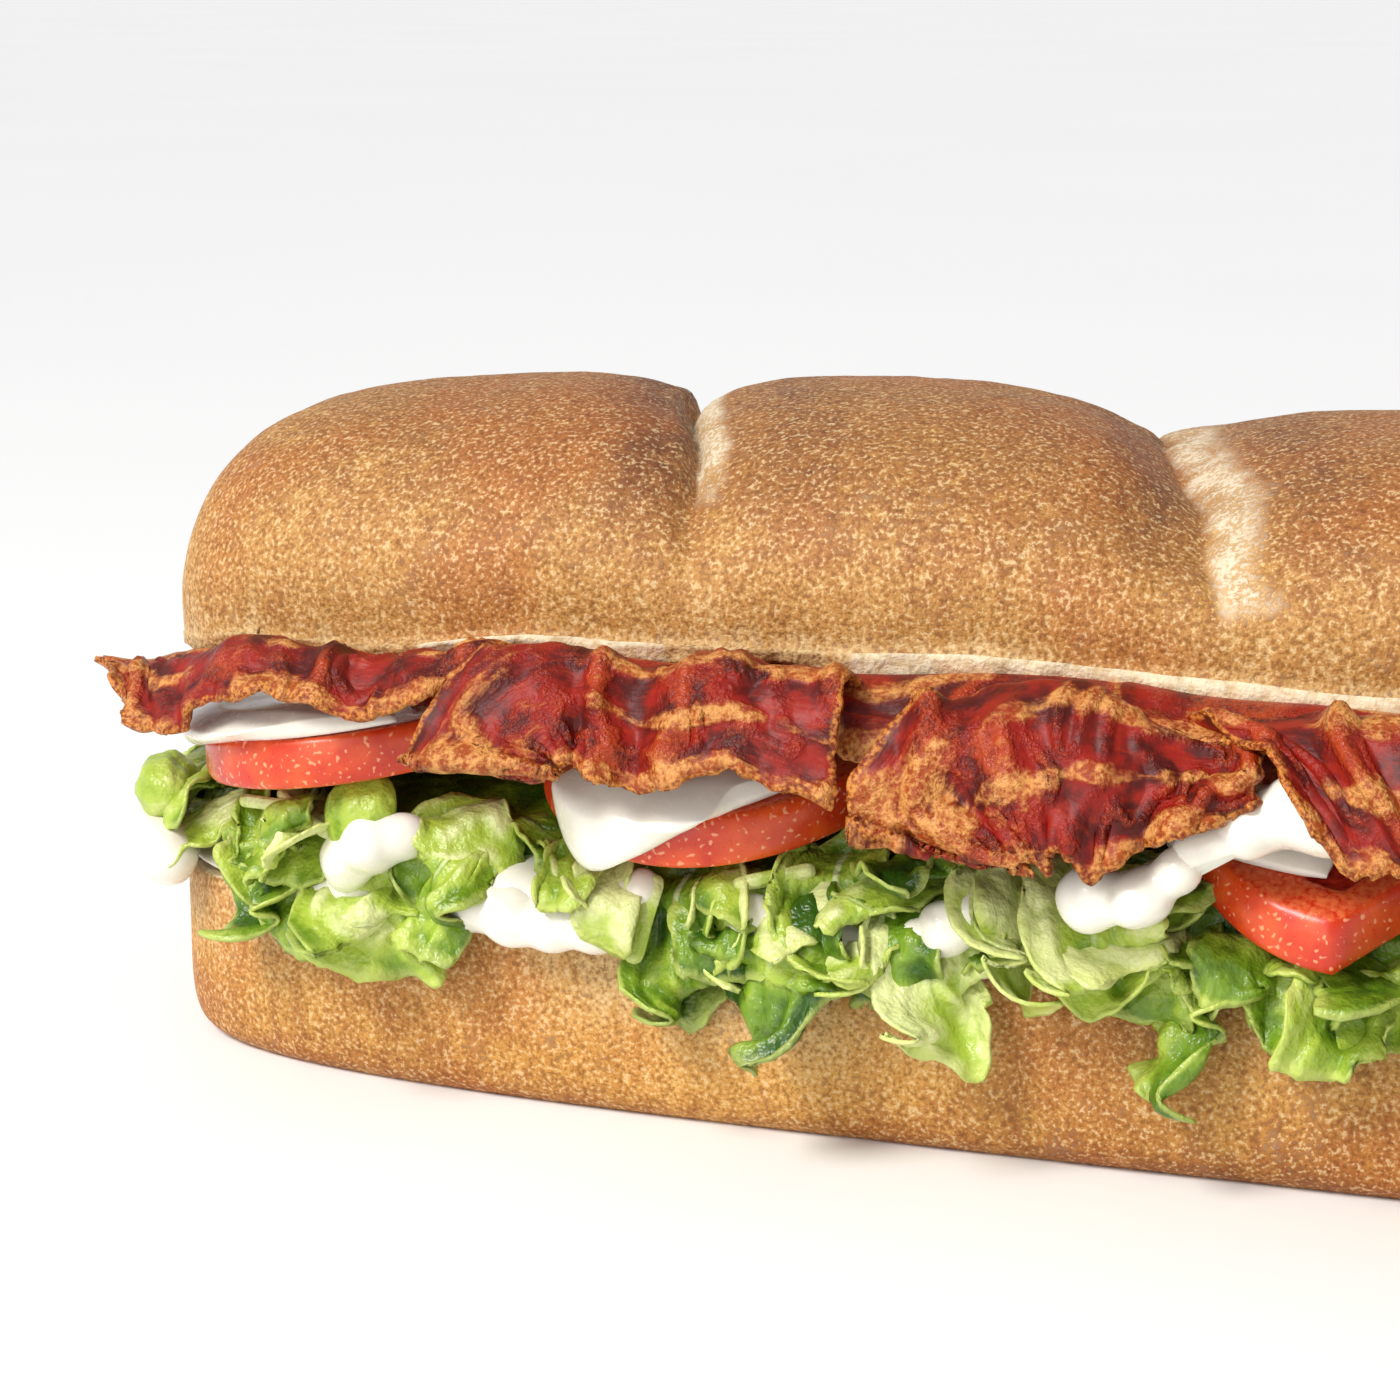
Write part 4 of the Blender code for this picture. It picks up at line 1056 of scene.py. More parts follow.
# %% Bacon material
def bacon_material():
    """Lean and fat mixed by the fat value, ridges and noise, then a crisp brown edge."""
    g = Graph("fried bacon", Roughness=0.3, Specular_IOR_Level=0.32)
    along_strip = {0: g.value("along"), 1: g.value("across"), 2: g.value("number")}
    strip = g.add("ShaderNodeCombineXYZ", {}, along_strip)
    fibres = g.over(strip, (0.22, 1.3, 7.0), 3.0)
    patches = g.over(strip, (0.15, 0.22, 3.0), 3.0)
    golden = g.over(strip, (0.11, 0.13, 9.0), 2.0)
    fine, middle = g.grain(0.5, 2.0), g.grain(1.7, 3.0)
    ridge = g.value("ridge") + (middle - 0.5) * 0.8 + (fine - 0.5) * 0.5 + (golden - 0.5) * 1.6
    fat_share = g.value("fat") * 0.75 + ridge * 0.35 + (patches - 0.5) * 0.9 + (fibres - 0.5) * 0.6
    lean = g.mix((patches + (middle - 0.5) * 0.3).step(0.36, 0.62), colour("4C0903"), colour("921808"))
    lean = g.mix((fibres + (fine - 0.5) * 0.5).step(0.5, 0.8) * 0.4, lean, colour("B4330F"))
    lean = g.mix(ridge.step(0.5, 1.05) * 0.8, lean, colour("AE3E14"))
    fat = g.mix((middle + (fine - 0.5) * 0.8).step(0.32, 0.68), colour("9E4514"), colour("D59450"))
    meat = g.mix(fat_share.step(0.42, 0.85), lean, fat)
    crisp = (g.value("crisp") + (middle - 0.5) * 0.7).step(0.4, 0.85)
    meat = g.mix(crisp * 0.75, meat, g.mix(fine.step(0.35, 0.65), colour("7A2A0A"), colour("D68A3A")))
    bubbles = ridge.step(0.3, 0.9)
    height = middle * (0.25 + bubbles * 0.4) + fine * (0.1 + bubbles * 0.7) + fibres * 0.25
    height = height + fat_share.step(0.3, 0.8) * 0.4
    rough = 0.4 + fine * 0.16 - bubbles * 0.2
    return g.wire(Base_Color=meat, Roughness=rough, Normal=g.bump(height, 0.5, 0.8))


bacon = bacon_material()
print("bacon material:", len(bacon.node_tree.nodes), "nodes")


# %% [markdown]
# ## The shape of one strip
#
# Plain noise would give a strip round bumps. `crumple` folds the noise about its zero line instead, which
# gives smooth hollows with crooked ridges between them, as in fried bacon. The middle sheet moves along its
# own normals, and the two outer sheets lie half the thickness to each side of it.


# %% Build the strips
def crumple(flat, size, seed):
    """0 in the smooth hollows to 1 along the crooked ridges between them, for hollows of the given size."""
    bent = flat + 2.2 * stacked(noise(flat, 5.0, seed + 8), noise(flat, 5.0, seed + 9), 0 * flat[..., 0])
    return np.clip(1 - np.abs(noise(bent, size, seed)) / 0.5, 0, 1)


def ragged_place(key, s, v, ends, sides, seed):
    """X and distance along the drape, with noise added to s near the ends and to v near the sides."""
    rough_end = 0.02 * fractal(stacked(v * STRIP_WIDTH, 0 * s, 0 * s), 4.0, 4, seed)
    rough_end = rough_end * smoothstep(0.15, 0.0, ends)
    rough_side = 0.07 * fractal(stacked(s * STRIP_LENGTH, v > 0.5, 0 * s), 6.0, 4, seed + 1) * sides**3
    return bacon_place(key, s + rough_end, v + rough_side)


def strip_level(key, x, q):
    """How far a strip lies above the drape: the inner ones lie under the others, and ends are tucked in."""
    if BACON[key][0] == "inner":
        return INNER_LEVEL + (4.2 + 1.8 * bell(x, -36, 18)) * smoothstep(35, 27, q)
    if key == "1":
        return 1.3 * smoothstep(39, 33, q) * smoothstep(-148, -140, x) + TUCKED * smoothstep(-107, -100, x)
    if key == "3":
        return TUCKED * smoothstep(-29, -21, x)
    return 0.0


def strip_fat(kind, s, v, flat, seed):
    """How fatty a strip is: wandering bands along it, each a hump across it, and a fatty left end on some."""
    wander = 0.09 * noise(stacked(s * STRIP_LENGTH, 0 * s, 0 * s), 13.0, seed + 5)
    fat = 0.0
    for at, width in FAT_BANDS:
        uneven = 1 + 1.1 * noise(stacked(s * STRIP_LENGTH, at * 50, 0), 11.0, seed)
        band = bell(v, at + wander * (1 - abs(2 * at - 1)), width * (0.3 + uneven))
        fat = np.maximum(fat, band * smoothstep(0.2, 1.4, uneven))
    patches = noise(flat, 5.0, seed + 7)
    if kind == "fan":
        fat = np.maximum(fat, 0.9 * smoothstep(0.4, 0.05, s) * (0.65 + 0.8 * patches))
    if kind == "left_tip":
        fat = np.maximum(fat, 0.75 * smoothstep(0.4, 0.0, s) * (0.8 + 0.7 * patches))
    return fat


def make_bacon(key, side, word):
    """Two sheets either side of the draped strip, with hollows and ridges, ruffled edges and bands of fat."""
    kind, seed = BACON[key][0], int(key) * STRIP_SEED
    inner = kind == "inner"
    n_s, n_v = int((100 if inner else 165) * DETAIL), int((44 if inner else 54) * DETAIL)
    s = np.linspace(0, 1, n_s)[:, None]
    v = np.linspace(0, 1, n_v)[None, :]
    flat = stacked(s * STRIP_LENGTH, v * STRIP_WIDTH, 0 * s)
    ends, sides = np.minimum(s, 1 - s), np.abs(2 * v - 1)
    x, q = ragged_place(key, s, v, ends, sides, seed)
    middle = drape(x, q, strip_level(key, x, q))
    big, small = crumple(flat, 10.5, seed + 2), crumple(flat * (1.2, 1, 1), 5.0, seed + 3)
    folds = 1.5 * noise(flat * (1, 0.6, 1), 12.0, seed + 6)
    ruffle = sides**4 * noise(flat * (1, 0.4, 1), 2.1, seed + 4)
    shift = 1.9 * big**1.3 + 0.7 * small**1.5 - 0.9 + folds
    loose = smoothstep(27, 36, q)
    shift = loose * (shift + 1.1 * ruffle) + (1 - loose) * 0.3 * folds
    middle = middle - normals_of(middle) * shift[..., None]
    normal = -normals_of(middle)
    fat = strip_fat(kind, s, v, flat, seed)
    ridge = np.maximum(big**1.6, 0.7 * small**2)
    edge = np.minimum(np.minimum(v, 1 - v) * STRIP_WIDTH, ends * STRIP_LENGTH)
    crisp = smoothstep(1.5, 0.2, edge) + 0 * v
    thick = BACON_THICK / 2 * (0.5 + 0.5 * smoothstep(0.0, 1.4, edge)) * (0.8 + 0.3 * fat)
    upper, lower = middle + normal * thick[..., None], middle - normal * thick[..., None]
    points = turned(np.concatenate([lower.reshape(-1, 3), upper.reshape(-1, 3)]), side)
    values = {"fat": fat, "ridge": ridge, "crisp": crisp, "along": flat[..., 0], "across": flat[..., 1]}
    values["number"] = seed + 0 * fat
    values = {label: np.tile(amounts.ravel(), 2) for label, amounts in values.items()}
    piece = make_piece(f"dressed_bacon_{key}_{word}", points, slab_faces(n_s, n_v), bacon, values)
    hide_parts(f"bacon_{key}_{word}")


for side, word in SIDES:
    for key in BACON:
        make_bacon(key, side, word)
print("bacon strips:", 2 * len(BACON))

# %% [markdown]
# ## Lettuce
#
# The heap is cut lettuce: a few large leaves that hang over the edge, and many small shreds. Only what can
# be seen is made leaf by leaf, over a dark core. Each leaf starts inside the core, runs out level and then
# bends down over the edge. Its sides and tip are torn and frilled, and a pale rib with side veins runs
# along it. Short stalks are juicy rods, round at both ends.

# %% Lettuce
LEAF_BURIED, LEAF_REACH = 9.0, 12.0
LONG_LEAF, LOWEST_LEAF, LEAF_HALF_THICK = 22.0, 9.0, 0.22
CORE_BASE, CORE_ROOF, CORE_INSET = 25.9, 38.6, 4.0
UNDER = 99.0  # a leaf with this top starts right under the slice above it
SHRED_COUNT, LEAF_SEED = 115, 5
NO_SLICE = 99.0  # the height given where no slice lies above
LEAVES = (  # place along the outline, heights of the top and the tip, width, lean, level, how pale (0 to 1)
    (-128.5, 28.5, 17.5, 13.0, -0.5, 0.6, 0.35),
    (-115.0, 27.0, 16.0, 14.0, 0.1, 1.3, 0.75),
    (-103.0, 33.0, 20.0, 9.5, -0.35, 0.6, 0.6),
    (-75.0, UNDER, 13.0, 12.0, 0.0, 0.0, 0.3),
    (-66.0, UNDER, 12.5, 15.0, 0.05, 1.0, 0.2),
    (-57.5, UNDER, 21.0, 13.0, 0.15, 0.0, 0.45),
    (-46.0, 29.0, 12.5, 12.5, 0.25, 1.0, 0.9),
    (-36.5, UNDER, 19.0, 9.5, 0.1, 0.0, 0.7),
    (-27.0, UNDER, 20.5, 14.0, 0.1, 1.0, 0.55),
    (-14.0, 29.0, 11.0, 10.5, -0.4, 0.0, 0.45),
    (-2.0, 29.0, 17.5, 17.0, 0.1, 1.0, 0.6),
    (14.5, UNDER, 13.0, 13.0, -0.2, 0.0, 0.5),
    (36.0, UNDER, 17.5, 15.0, 0.25, 1.0, 0.7),
    (56.0, UNDER, 12.0, 14.0, -0.15, 0.0, 0.45),
    (77.0, 29.0, 16.0, 15.0, 0.2, 1.0, 0.7),
    (101.0, UNDER, 13.0, 14.0, -0.2, 0.0, 0.3),
    (122.0, UNDER, 17.5, 15.0, 0.25, 1.0, 0.75),
    (143.0, UNDER, 15.0, 13.0, -0.1, 0.0, 0.5),
    (158.0, 29.0, 18.0, 13.0, 0.1, 0.0, 0.6),
)

# %% Shreds and stalks that have a place
SHREDS = (  # place along the outline, height of the start, length, width, how pale
    (-106.0, 37.0, 13.0, 11.0, 0.8),
    (-99.0, 34.0, 15.0, 8.0, 0.5),
    (-88.0, 34.0, 15.0, 8.0, 0.45),
    (-128.0, 35.0, 14.0, 9.0, 0.3),
    (-52.0, 35.0, 15.0, 12.0, 0.25),
    (-40.0, 35.5, 15.0, 12.0, 0.7),
    (-31.0, 36.0, 14.0, 13.0, 0.2),
    (-17.0, 36.0, 15.0, 12.0, 0.75),
    (-9.0, 31.0, 16.0, 9.0, 0.5),
)
STALKS = (  # both ends as (place along the outline, distance outside it, height), width, thickness, how pale
    ((-156.0, 0.2, 31.5), (-146.0, 3.2, 31.5), 8.0, 7.0, 0.72),
    ((-114.5, 1.0, 39.5), (-115.5, 4.4, 29.5), 8.5, 5.0, 0.5),
    ((-134.0, 1.5, 33.5), (-122.0, 3.0, 34.6), 1.6, 1.2, 0.95),
    ((-128.0, 1.5, 35.5), (-119.0, 3.5, 31.5), 1.4, 1.1, 1.0),
    ((-78.5, 2.0, 31.0), (-80.5, 5.0, 21.0), 2.6, 1.2, 0.9),
    ((-60.0, 1.0, 33.0), (-69.0, 3.5, 31.0), 1.8, 1.4, 0.8),
    ((20.0, 1.0, 33.0), (31.0, 4.0, 29.0), 3.0, 2.2, 0.9),
    ((66.0, 1.0, 32.0), (58.0, 4.5, 28.0), 3.4, 2.4, 0.8),
    ((110.0, 1.0, 34.0), (121.0, 4.0, 31.0), 3.0, 2.2, 0.95),
)


# %% [markdown]
# ## Lettuce colours
#
# Cut lettuce runs from dark green through yellow green to nearly white at its ribs. One stored value says
# how pale a place is, and three mixes turn it into a tint. On the leaves that value also holds painted
# light and shade: paler where a crumple bulges out, darker in its hollows. A picture of a leaf would repeat,
# while noise of three sizes gives every leaf other patches.


# %% Lettuce material
def lettuce_material():
    """Three mixes from dark to pale by the pale value and noise, then paler ribs and painted light along the
    margins.
    """
    g = Graph("fresh lettuce", Roughness=0.3, Specular_IOR_Level=0.5)
    fine, middle, broad = g.grain(0.7, 2.0), g.grain(2.4, 3.0), g.grain(7.0, 2.0)
    pale = g.value("pale") + (broad - 0.5) * 1.2 + (middle - 0.5) * 0.5 + (fine - 0.5) * 0.12
    leaf = g.mix(pale.step(-0.05, 0.35), colour("33590F"), colour("71921F"))
    leaf = g.mix(pale.step(0.3, 0.65), leaf, colour("A9BF43"))
    leaf = g.mix(pale.step(0.65, 1.05), leaf, colour("DCE29A"))
    vein = (g.value("rib") + (fine - 0.5) * 0.3).step(0.35, 0.85)
    leaf = g.mix(vein * 0.6, leaf, colour("DDE6B4"))
    # painted light: a pale yellow-green along the margins, as where light shines through the thin edge
    leaf = g.mix((g.value("margin") + (fine - 0.5) * 0.4).step(0.45, 0.9) * 0.5, leaf, colour("CFD972"))
    height = middle * 1.4 + g.value("rib") * 0.5
    rough = 0.2 + fine * 0.25
    return g.wire(Base_Color=leaf, Roughness=rough, Normal=g.bump(height, 0.7, 0.9))


lettuce = lettuce_material()
print("lettuce material:", len(lettuce.node_tree.nodes), "nodes")


# %% Room under the slices
def tomato_under(key, x, y):
    """Height just under a slice, or a large height away from it."""
    cx, cy, middle, radius, droop, rise, _, _ = TOMATOES[key]
    under = middle - TOMATO_THICK / 2 - droop_of(y, droop) + rise * (x - cx) - 1.0
    return np.where(np.hypot(x - cx, y - cy) < radius + 4.0, under, NO_SLICE)


def lettuce_roof(x, y):
    """Top of the core: it falls towards the long sides and stays under the slices."""
    roof = CORE_ROOF - droop_of(-np.abs(y), 10.0) - 4.0 * smoothstep(118, 142, np.abs(x))
    for way in (1, -1):
        for key in TOMATOES:
            roof = np.minimum(roof, tomato_under(key, way * x, way * y))
    return roof


def leaf_root(p):
    """Height where a leaf comes out, below the slice above it."""
    x, y = outline(np.array([p, p, p]), np.array([-5.0, 0.0, 5.0]))
    return min(34.0, min(float(np.min(tomato_under(key, x, y))) for key in TOMATOES) - 1.4)


# %% [markdown]
# ## The shape of one leaf
#
# A leaf is thin, crumpled and torn, with a frilled margin. Modelling one by hand and copying it would show
# the same leaf again and again. Here a path carries each leaf, `v` runs across it, and its own seed gives
# it other crumples and teeth.


# %% One leaf
def leaf_margin(s, v, width, length, seed):
    """Distance along the leaf's margin, how near it is (1 on it), and how far its teeth stick out there."""
    margin = v * width / 2 + np.sign(v) * v * v * (1 - s) * length
    far = np.maximum(np.abs(v), smoothstep(0.3, 1.0, s) ** 2)
    edge = stacked(margin, 0 * margin, 0 * margin + seed)
    torn = 2.0 * noise(edge, 6.5, seed + 7) + 1.0 * noise(edge, 2.6, seed) + 0.5 * noise(edge, 1.3, seed + 1)
    return margin, far, far**2 * torn * min(1.0, width / 12)


def leaf_frame(spine):
    """Unit vectors sideways and outwards along a spine: tangent x up, and that x tangent."""
    tangent = np.gradient(spine, axis=0)
    tangent = tangent / np.maximum(np.linalg.norm(tangent, axis=-1, keepdims=True), 1e-6)
    sideways = np.cross(tangent, (0.0, 0.35, 1.0))
    sideways = sideways / np.maximum(np.linalg.norm(sideways, axis=-1, keepdims=True), 1e-6)
    return sideways, np.cross(sideways, tangent)


def leaf_veins(s, v, half, reach, length, far):
    """A rib that narrows towards the tip, and side veins that fan out from its root."""
    around = np.arctan2(half, (s - 0.2) * length + 2.0)
    rib = bell(v, 0.0, 0.1 * (1.1 - 0.8 * s)) * smoothstep(1.05, 0.4, s)
    veins = 0.6 * bell((around * 2.2 + 0.06 * np.sin(reach)) % 1.0, 0.5, 0.07)
    return np.maximum(rib, veins * smoothstep(0.05, 0.3, np.abs(v)) * (1 - far**4))


def leaf_body(path, width, draw, pale, rows, columns):
    """A crinkled leaf about a path of (place along the outline, distance outside it, height).

    At a point the leaf is v half-widths to the side of the path plus a lift along its normal.
    """
    seed = draw.randint(10000)
    s = np.linspace(0, 1, rows)[:, None]
    v = np.linspace(-1, 1, columns)[None, :]
    steps = np.linalg.norm(np.diff(path, axis=0), axis=1)
    length, run = steps.sum(), np.concatenate([[0.0], np.cumsum(steps)])
    margin, far, teeth = leaf_margin(s, v, width, length, seed)
    late = smoothstep(0.3, 1.0, s)
    reach = s * length * (1 - draw.uniform(0.02, 0.16) * v * v * late) + teeth * late
    reach = np.maximum.accumulate(reach, axis=0)
    line = np.stack([np.interp(reach, run, path[:, k]) for k in range(3)], -1)
    ahead = path[-1] - path[-3]
    line = line + np.maximum(reach - length, 0)[..., None] * (ahead / np.linalg.norm(ahead))
    sideways, facing = leaf_frame(np.stack([np.interp(s * length, run, path[:, k]) for k in range(3)], -1))
    turned_by = 0.6 if length > LONG_LEAF else 1.0
    roll = turned_by * (draw.uniform(-0.5, 0.5) + draw.uniform(-0.7, 0.7) * s)
    spread = np.sin(math.pi * (0.14 + draw.uniform(0.5, 0.68) * s)) ** 0.7
    half = np.maximum(width / 2 * spread + np.sign(v) * teeth, width / 6 * spread) * v
    flat = stacked(reach + seed, half, 0 * half)
    creases = 1 - np.abs(noise(flat, 5.0, seed + 6)) * 2.5
    crumpled = 1.4 * noise(flat, 6.0, seed + 2) + 0.9 * np.clip(creases, 0, 1)
    crumpled = crumpled + 0.4 * noise(flat, 1.8, seed + 5)
    frill = far**2.5 * noise(stacked(margin, 4 * far, 0 * margin + seed), 2.4, seed + 4)
    cup = draw.uniform(-1.5, 2.5) * v * v
    lift = (0.2 + 0.8 * smoothstep(0.0, 0.4, s)) * (crumpled + 1.7 * frill + cup)
    spot = line + sideways * (half * np.cos(roll))[..., None]
    spot = spot + facing * (half * np.sin(roll) + lift)[..., None]
    x, y = outline(spot[..., 0], spot[..., 1])
    middle = stacked(x, y, np.maximum(spot[..., 2], LOWEST_LEAF))
    normal = normals_of(middle) * LEAF_HALF_THICK
    points = np.concatenate([(middle + normal).reshape(-1, 3), (middle - normal).reshape(-1, 3)])
    # painted light and shade: the leaf's own tint, paler towards the root, is made paler where the crumples
    # bulge out and darker in their hollows
    tint_and_painted_shade = pale + 0.25 * (1 - s) - 0.1 + 0.3 * np.tanh(lift - 0.4)
    rib = leaf_veins(s, v, half, reach, length, far)
    values = {"pale": tint_and_painted_shade, "rib": rib, "margin": far**8 + 0 * tint_and_painted_shade}
    return points, slab_faces(rows, columns), {label: np.tile(a.ravel(), 2) for label, a in values.items()}


# %% Leaves, shreds and stalks
def hanging_leaf(leaf, draw):
    """A leaf that runs out level from the core, bends over the edge, hangs and curls at its tip."""
    p0, top, tip, width, lean, level, pale = leaf
    root = min(leaf_root(p0), top)
    s = np.linspace(0, 1, 60)
    length = LEAF_REACH + root - tip
    run = s * length
    bend = smoothstep(LEAF_REACH - 6.0, LEAF_REACH + 2.0, run)
    pitch = 0.1 + 1.4 * bend + 0.3 * np.sin(run * 0.55 + draw.uniform(0, 6))
    pitch = pitch + draw.uniform(-0.9, 0.3) * smoothstep(0.7, 1.05, s)
    out = np.cumsum(np.cos(pitch)) * length / 59 - LEAF_BURIED
    drop = np.cumsum(np.sin(pitch)) * length / 59
    p = p0 + lean * np.maximum(run - LEAF_BURIED, 0) + draw.uniform(-2, 2) * np.sin(3 * s)
    out = out + bend * (1.8 * swell_at(p) + 1.6 * level)
    path = np.stack([p, out, root - drop * (root - tip) / drop.max()], 1)
    return leaf_body(path, width * 1.15, draw, pale, int(52 * DETAIL), int(34 * DETAIL))


def shred(draw, p0=None, start=None, length=None, width=None, pale=None):
    """A small piece that starts near the edge, heads outwards and curls down; what isn't given is random."""
    random_place = draw.uniform(-163, 171)
    random_length, random_width = draw.uniform(9, 18), draw.uniform(7, 14)
    p0 = random_place if p0 is None else p0
    length = random_length if length is None else length
    width = random_width if width is None else width
    root = leaf_root(p0)
    random_start, heading = draw.uniform(26.5, root + 0.3), draw.uniform(-1.2, 1.2)
    start = random_start if start is None else start
    first, last = draw.uniform(-0.3, 0.4), draw.uniform(0.3, 1.9)
    s = np.linspace(0, 1, 24)
    pitch = first + (last - first) * s**1.3
    out = np.cumsum(np.cos(pitch)) * length / 23 * math.cos(heading) - 5.0
    p = p0 + np.cumsum(np.cos(pitch)) * length / 23 * math.sin(heading)
    z = np.minimum(start - np.cumsum(np.sin(pitch)) * length / 23, root + 0.5)
    path = np.stack([p, np.minimum(out, 6.0), z], 1)
    random_pale = draw.uniform(0.05, 1.0)
    pale = random_pale if pale is None else pale
    return leaf_body(path, width, draw, pale, int(22 * DETAIL), int(14 * DETAIL))


def stalk(first, last, wide, thick, pale, seed):
    """A juicy stalk between two places of (along the outline, outside it, height), round at both ends."""
    rings, sides = int(30 * DETAIL), int(30 * DETAIL)
    s = np.linspace(0.01, 0.99, rings)[:, None]
    turn = np.linspace(0, 2 * math.pi, sides, endpoint=False)[None, :]
    first, last = np.array(first, float), np.array(last, float)
    length = np.linalg.norm(last - first)
    along = (last - first) / length
    sideways = np.cross(along, (0.0, 1.0, 0.2))
    sideways = sideways / np.linalg.norm(sideways)
    facing = np.cross(sideways, along)
    round_end = np.sqrt(np.clip(1 - np.abs(2 * s - 1) ** (2 * length / wide), 0, 1))
    line = first + s[..., None] * (last - first) + facing * (np.sin(math.pi * s) * 0.8)[..., None]
    a, b = wide / 2 * round_end * np.cos(turn), thick / 2 * round_end * np.sin(turn)
    skin = noise(stacked(s * length, np.cos(turn), np.sin(turn)), 3.0, seed)
    grooves = 1 + 0.05 * np.cos(7 * turn) + 0.12 * skin
    spot = line + sideways * (a * grooves)[..., None] + facing * (b * grooves)[..., None]
    x, y = outline(spot[..., 0], spot[..., 1])
    rows = stacked(x, y, spot[..., 2])
    zero = 0 * rows[..., 0]
    values = {"pale": cap_values(zero + pale), "rib": cap_values(zero), "margin": cap_values(zero)}
    return cap_points(rows), ring_faces(rings, sides), values


# %% Build the heap
def make_core():
    """Cross-sections of the dark middle, with a lumpy side."""
    n_along, n_top = int(260 * DETAIL), int(60 * DETAIL)
    t = (144.0 * np.sin(np.linspace(-1, 1, n_along) * math.pi / 2))[:, None]
    half = half_width_at(np.minimum(np.abs(t) + 5.0, HALF_LENGTH - 0.5)) - CORE_INSET
    across = np.linspace(-1, 1, n_top)[None, :]
    y = half * across
    roof = lettuce_roof(t + 0 * y, y) - 0.8 + 0.8 * fractal(stacked(t, y, 0), 7.0, 3, 41)
    low = np.linspace(1, -1, 12)[None, :]
    edge_z = np.array([CORE_BASE, 27.5, 29.0, 30.0])[None, :]
    left = stacked(t, -half * 1.04 + 0.9 * noise(stacked(t, edge_z, 0), 4.0, 43), edge_z)
    right = stacked(t, half * 1.04 + 0.9 * noise(stacked(t, edge_z, 9), 4.0, 44), edge_z[:, ::-1])
    middle = stacked(t, y, np.maximum(roof, CORE_BASE + 2))
    rings = np.concatenate([left, middle, right, stacked(t, half * low * 0.9, CORE_BASE)], 1)
    zero = 0 * rings[..., 0]
    values = {"pale": cap_values(zero + 0.1), "rib": cap_values(zero), "margin": cap_values(zero)}
    return cap_points(rings), ring_faces(*rings.shape[:2]), values


def make_lettuce():
    """The core, and the hanging leaves and the small pieces of each side, as five pieces."""
    points, faces, values = make_core()
    core = make_piece("lettuce_core", points, faces, lettuce, values)
    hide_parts("lettuce")
    pieces = [core]
    for side, word in SIDES:
        draw = np.random.RandomState(LEAF_SEED)
        leaves = [hanging_leaf(leaf, draw) for leaf in LEAVES]
        small = [shred(draw, *piece) for piece in SHREDS]
        small += [shred(draw) for _ in range(SHRED_COUNT)]
        small += [stalk(*piece, seed) for seed, piece in enumerate(STALKS)]
        for label, parts in (("leaves", leaves), ("shreds", small)):
            points, faces, values = gather(parts)
            pieces.append(make_piece(f"lettuce_{label}_{word}", turned(points, side), faces, lettuce, values))
    return pieces


for piece in make_lettuce():
    print(piece.name, len(piece.data.polygons), "triangles")

# %% [markdown]
# ## Floor, light and camera
#
# The floor and the surroundings are near white. A very broad sun stands at the upper left and gives soft
# shadows. A small lamp gives the wet food its highlights, and a large one in front lights what hangs under
# the crust. The surroundings are brightest at the horizon, where they meet the far floor.


# %% Stage
def make_floor():
    """A flat square, 120 metres across."""
    mesh = bpy.data.meshes.new("floor")
    mesh.from_pydata([(-60, -60, 0), (60, -60, 0), (60, 60, 0), (-60, 60, 0)], [], [(0, 1, 2, 3)])
    g = Graph("pale floor", Roughness=0.8, Specular_IOR_Level=0.2)
    tint = g.mix(g.grain(300.0, 0.0), colour("F9F9F9"), colour("FCFCFC"))
    mesh.materials.append(g.wire(Base_Color=tint))
    floor = bpy.data.objects.new("floor", mesh)
    bpy.context.scene.collection.objects.link(floor)


# %% Lamps and surroundings
def add_lamp(name, place, size, power_w, tint):
    """A square soft lamp that faces the middle of the sandwich."""
    lamp = bpy.data.lights.new(name, "AREA")
    lamp.size, lamp.energy, lamp.color = size, power_w, tint
    holder = bpy.data.objects.new(name, lamp)
    holder.location = place
    holder.rotation_euler = (Vector((-0.05, 0, 0.04)) - Vector(place)).to_track_quat("-Z", "Y").to_euler()
    bpy.context.scene.collection.objects.link(holder)


def add_sun(name, towards, angle_deg, strength):
    """A very broad sun, so that its shadows are soft; towards points from the sandwich to it."""
    lamp = bpy.data.lights.new(name, "SUN")
    lamp.energy, lamp.angle = strength, math.radians(angle_deg)
    holder = bpy.data.objects.new(name, lamp)
    holder.rotation_euler = Vector(towards).to_track_quat("Z", "Y").to_euler()
    bpy.context.scene.collection.objects.link(holder)


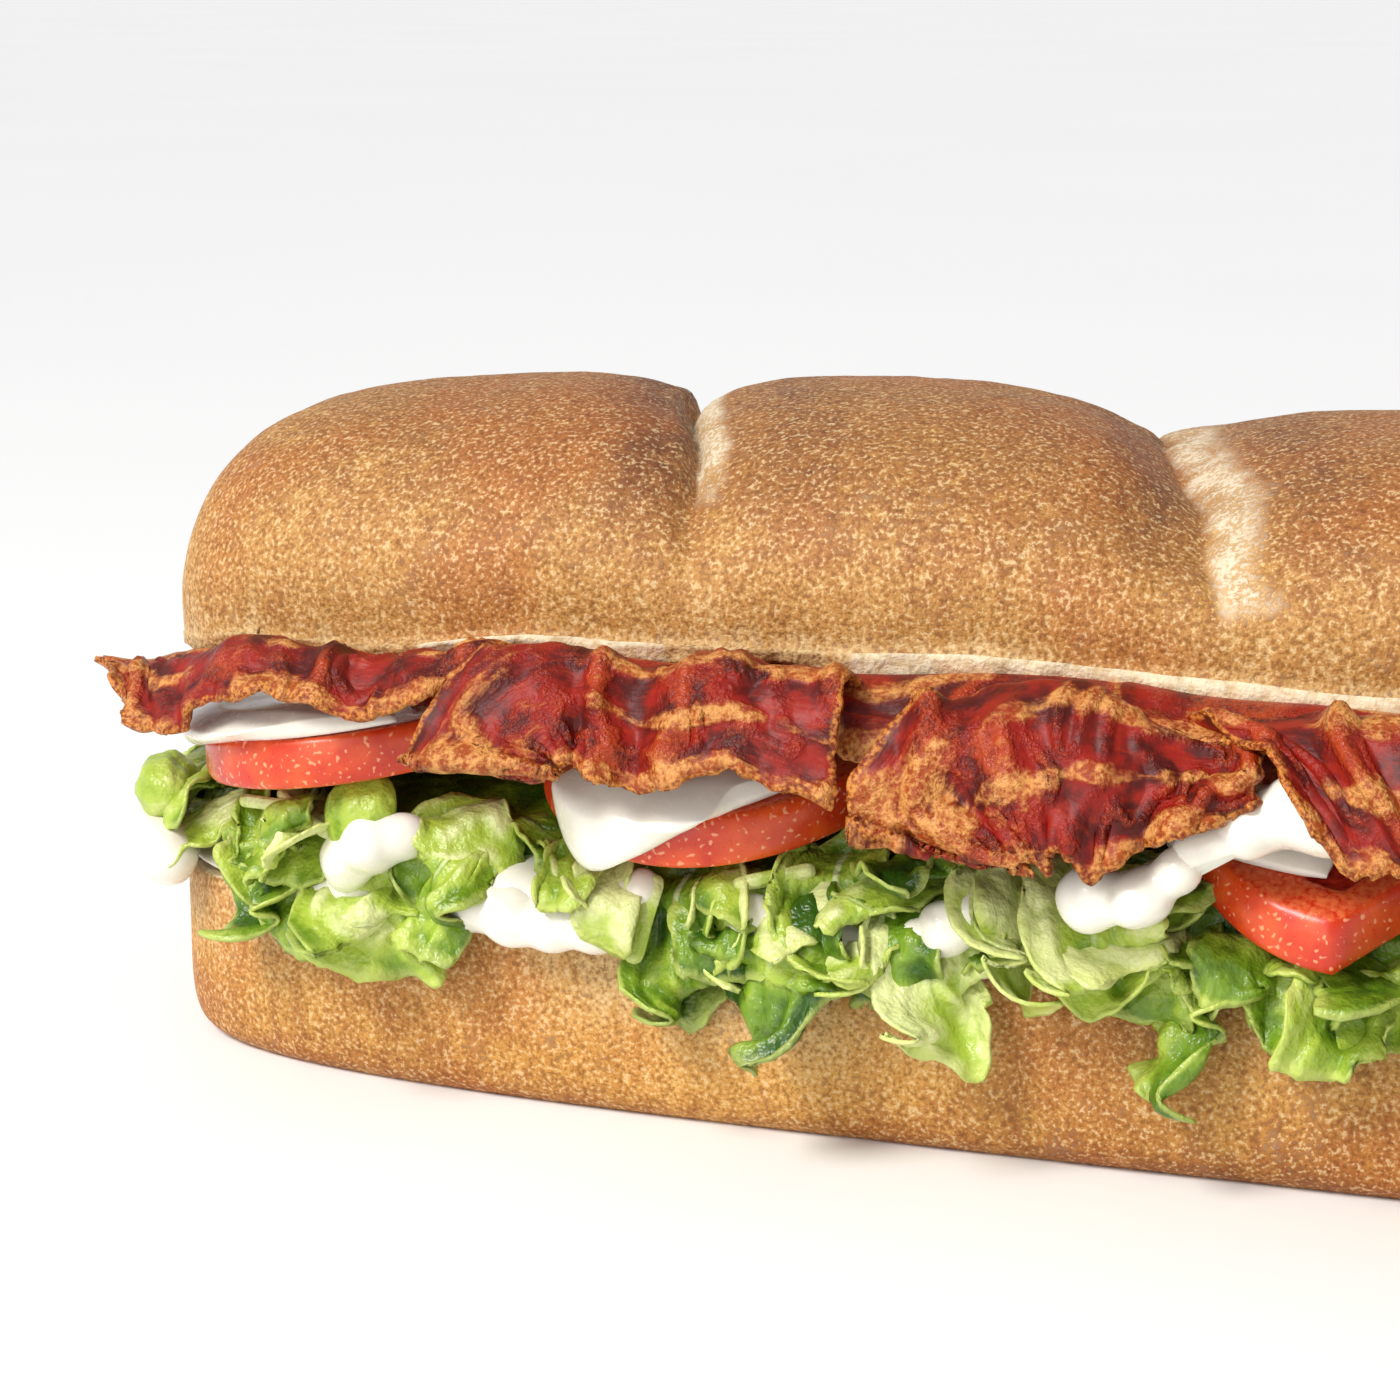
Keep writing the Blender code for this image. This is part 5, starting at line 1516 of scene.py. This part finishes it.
def set_surroundings(horizon, above):
    """White surroundings: as bright as the far floor at the horizon, and dimmer above it."""
    world = bpy.data.worlds.new("surroundings")
    world.use_nodes = True
    tree = world.node_tree
    background = tree.nodes["Background"]
    background.inputs["Color"].default_value = (1.0, 1.0, 1.0, 1.0)
    place = tree.nodes.new("ShaderNodeTexCoord")
    parts = tree.nodes.new("ShaderNodeSeparateXYZ")
    fade = tree.nodes.new("ShaderNodeMapRange")
    fade.interpolation_type = "SMOOTHSTEP"
    for number, amount in enumerate((0.0, 0.3, horizon, above), 1):
        fade.inputs[number].default_value = amount
    tree.links.new(place.outputs["Generated"], parts.inputs["Vector"])
    tree.links.new(parts.outputs["Z"], fade.inputs["Value"])
    tree.links.new(fade.outputs["Result"], background.inputs["Strength"])
    bpy.context.scene.world = world


# %% [markdown]
# ## The camera
#
# The camera was fitted to the outlines in the picture, so a long lens stands about 0.4 m away, a little
# above the roll and turned to its -X end. The Standard view keeps colours as they are worked out.


# %% Camera
def place_camera(place, yaw, pitch, lens):
    """A camera that looks along +Y, turned by yaw towards +X and tipped down by pitch, both in degrees."""
    turn, tip = math.radians(yaw), math.radians(pitch)
    ahead = Vector((math.sin(turn) * math.cos(tip), math.cos(turn) * math.cos(tip), -math.sin(tip)))
    right = Vector((math.cos(turn), -math.sin(turn), 0.0))
    up = right.cross(ahead)
    data = bpy.data.cameras.new("camera")
    data.lens, data.sensor_width, data.clip_start = lens, 36.0, 0.02
    camera = bpy.data.objects.new("camera", data)
    camera.matrix_world = Matrix.Translation(place) @ Matrix((right, up, -ahead)).transposed().to_4x4()
    bpy.context.scene.collection.objects.link(camera)
    bpy.context.scene.camera = camera


make_floor()
add_sun("window", (-0.5, -0.62, 0.85), 24.0, 1.9)
add_lamp("glint", (-0.35, -0.6, 0.6), 0.25, 2.0, (1.0, 0.97, 0.93))
add_lamp("front", (-0.3, -0.95, 0.2), 0.7, 2.4, (1.0, 0.99, 0.97))
set_surroundings(0.9, 0.49)
place_camera((0.0375, -0.3819, 0.1324), -18.0, 12.69, 84.86)
bpy.context.scene.view_settings.view_transform = "Standard"
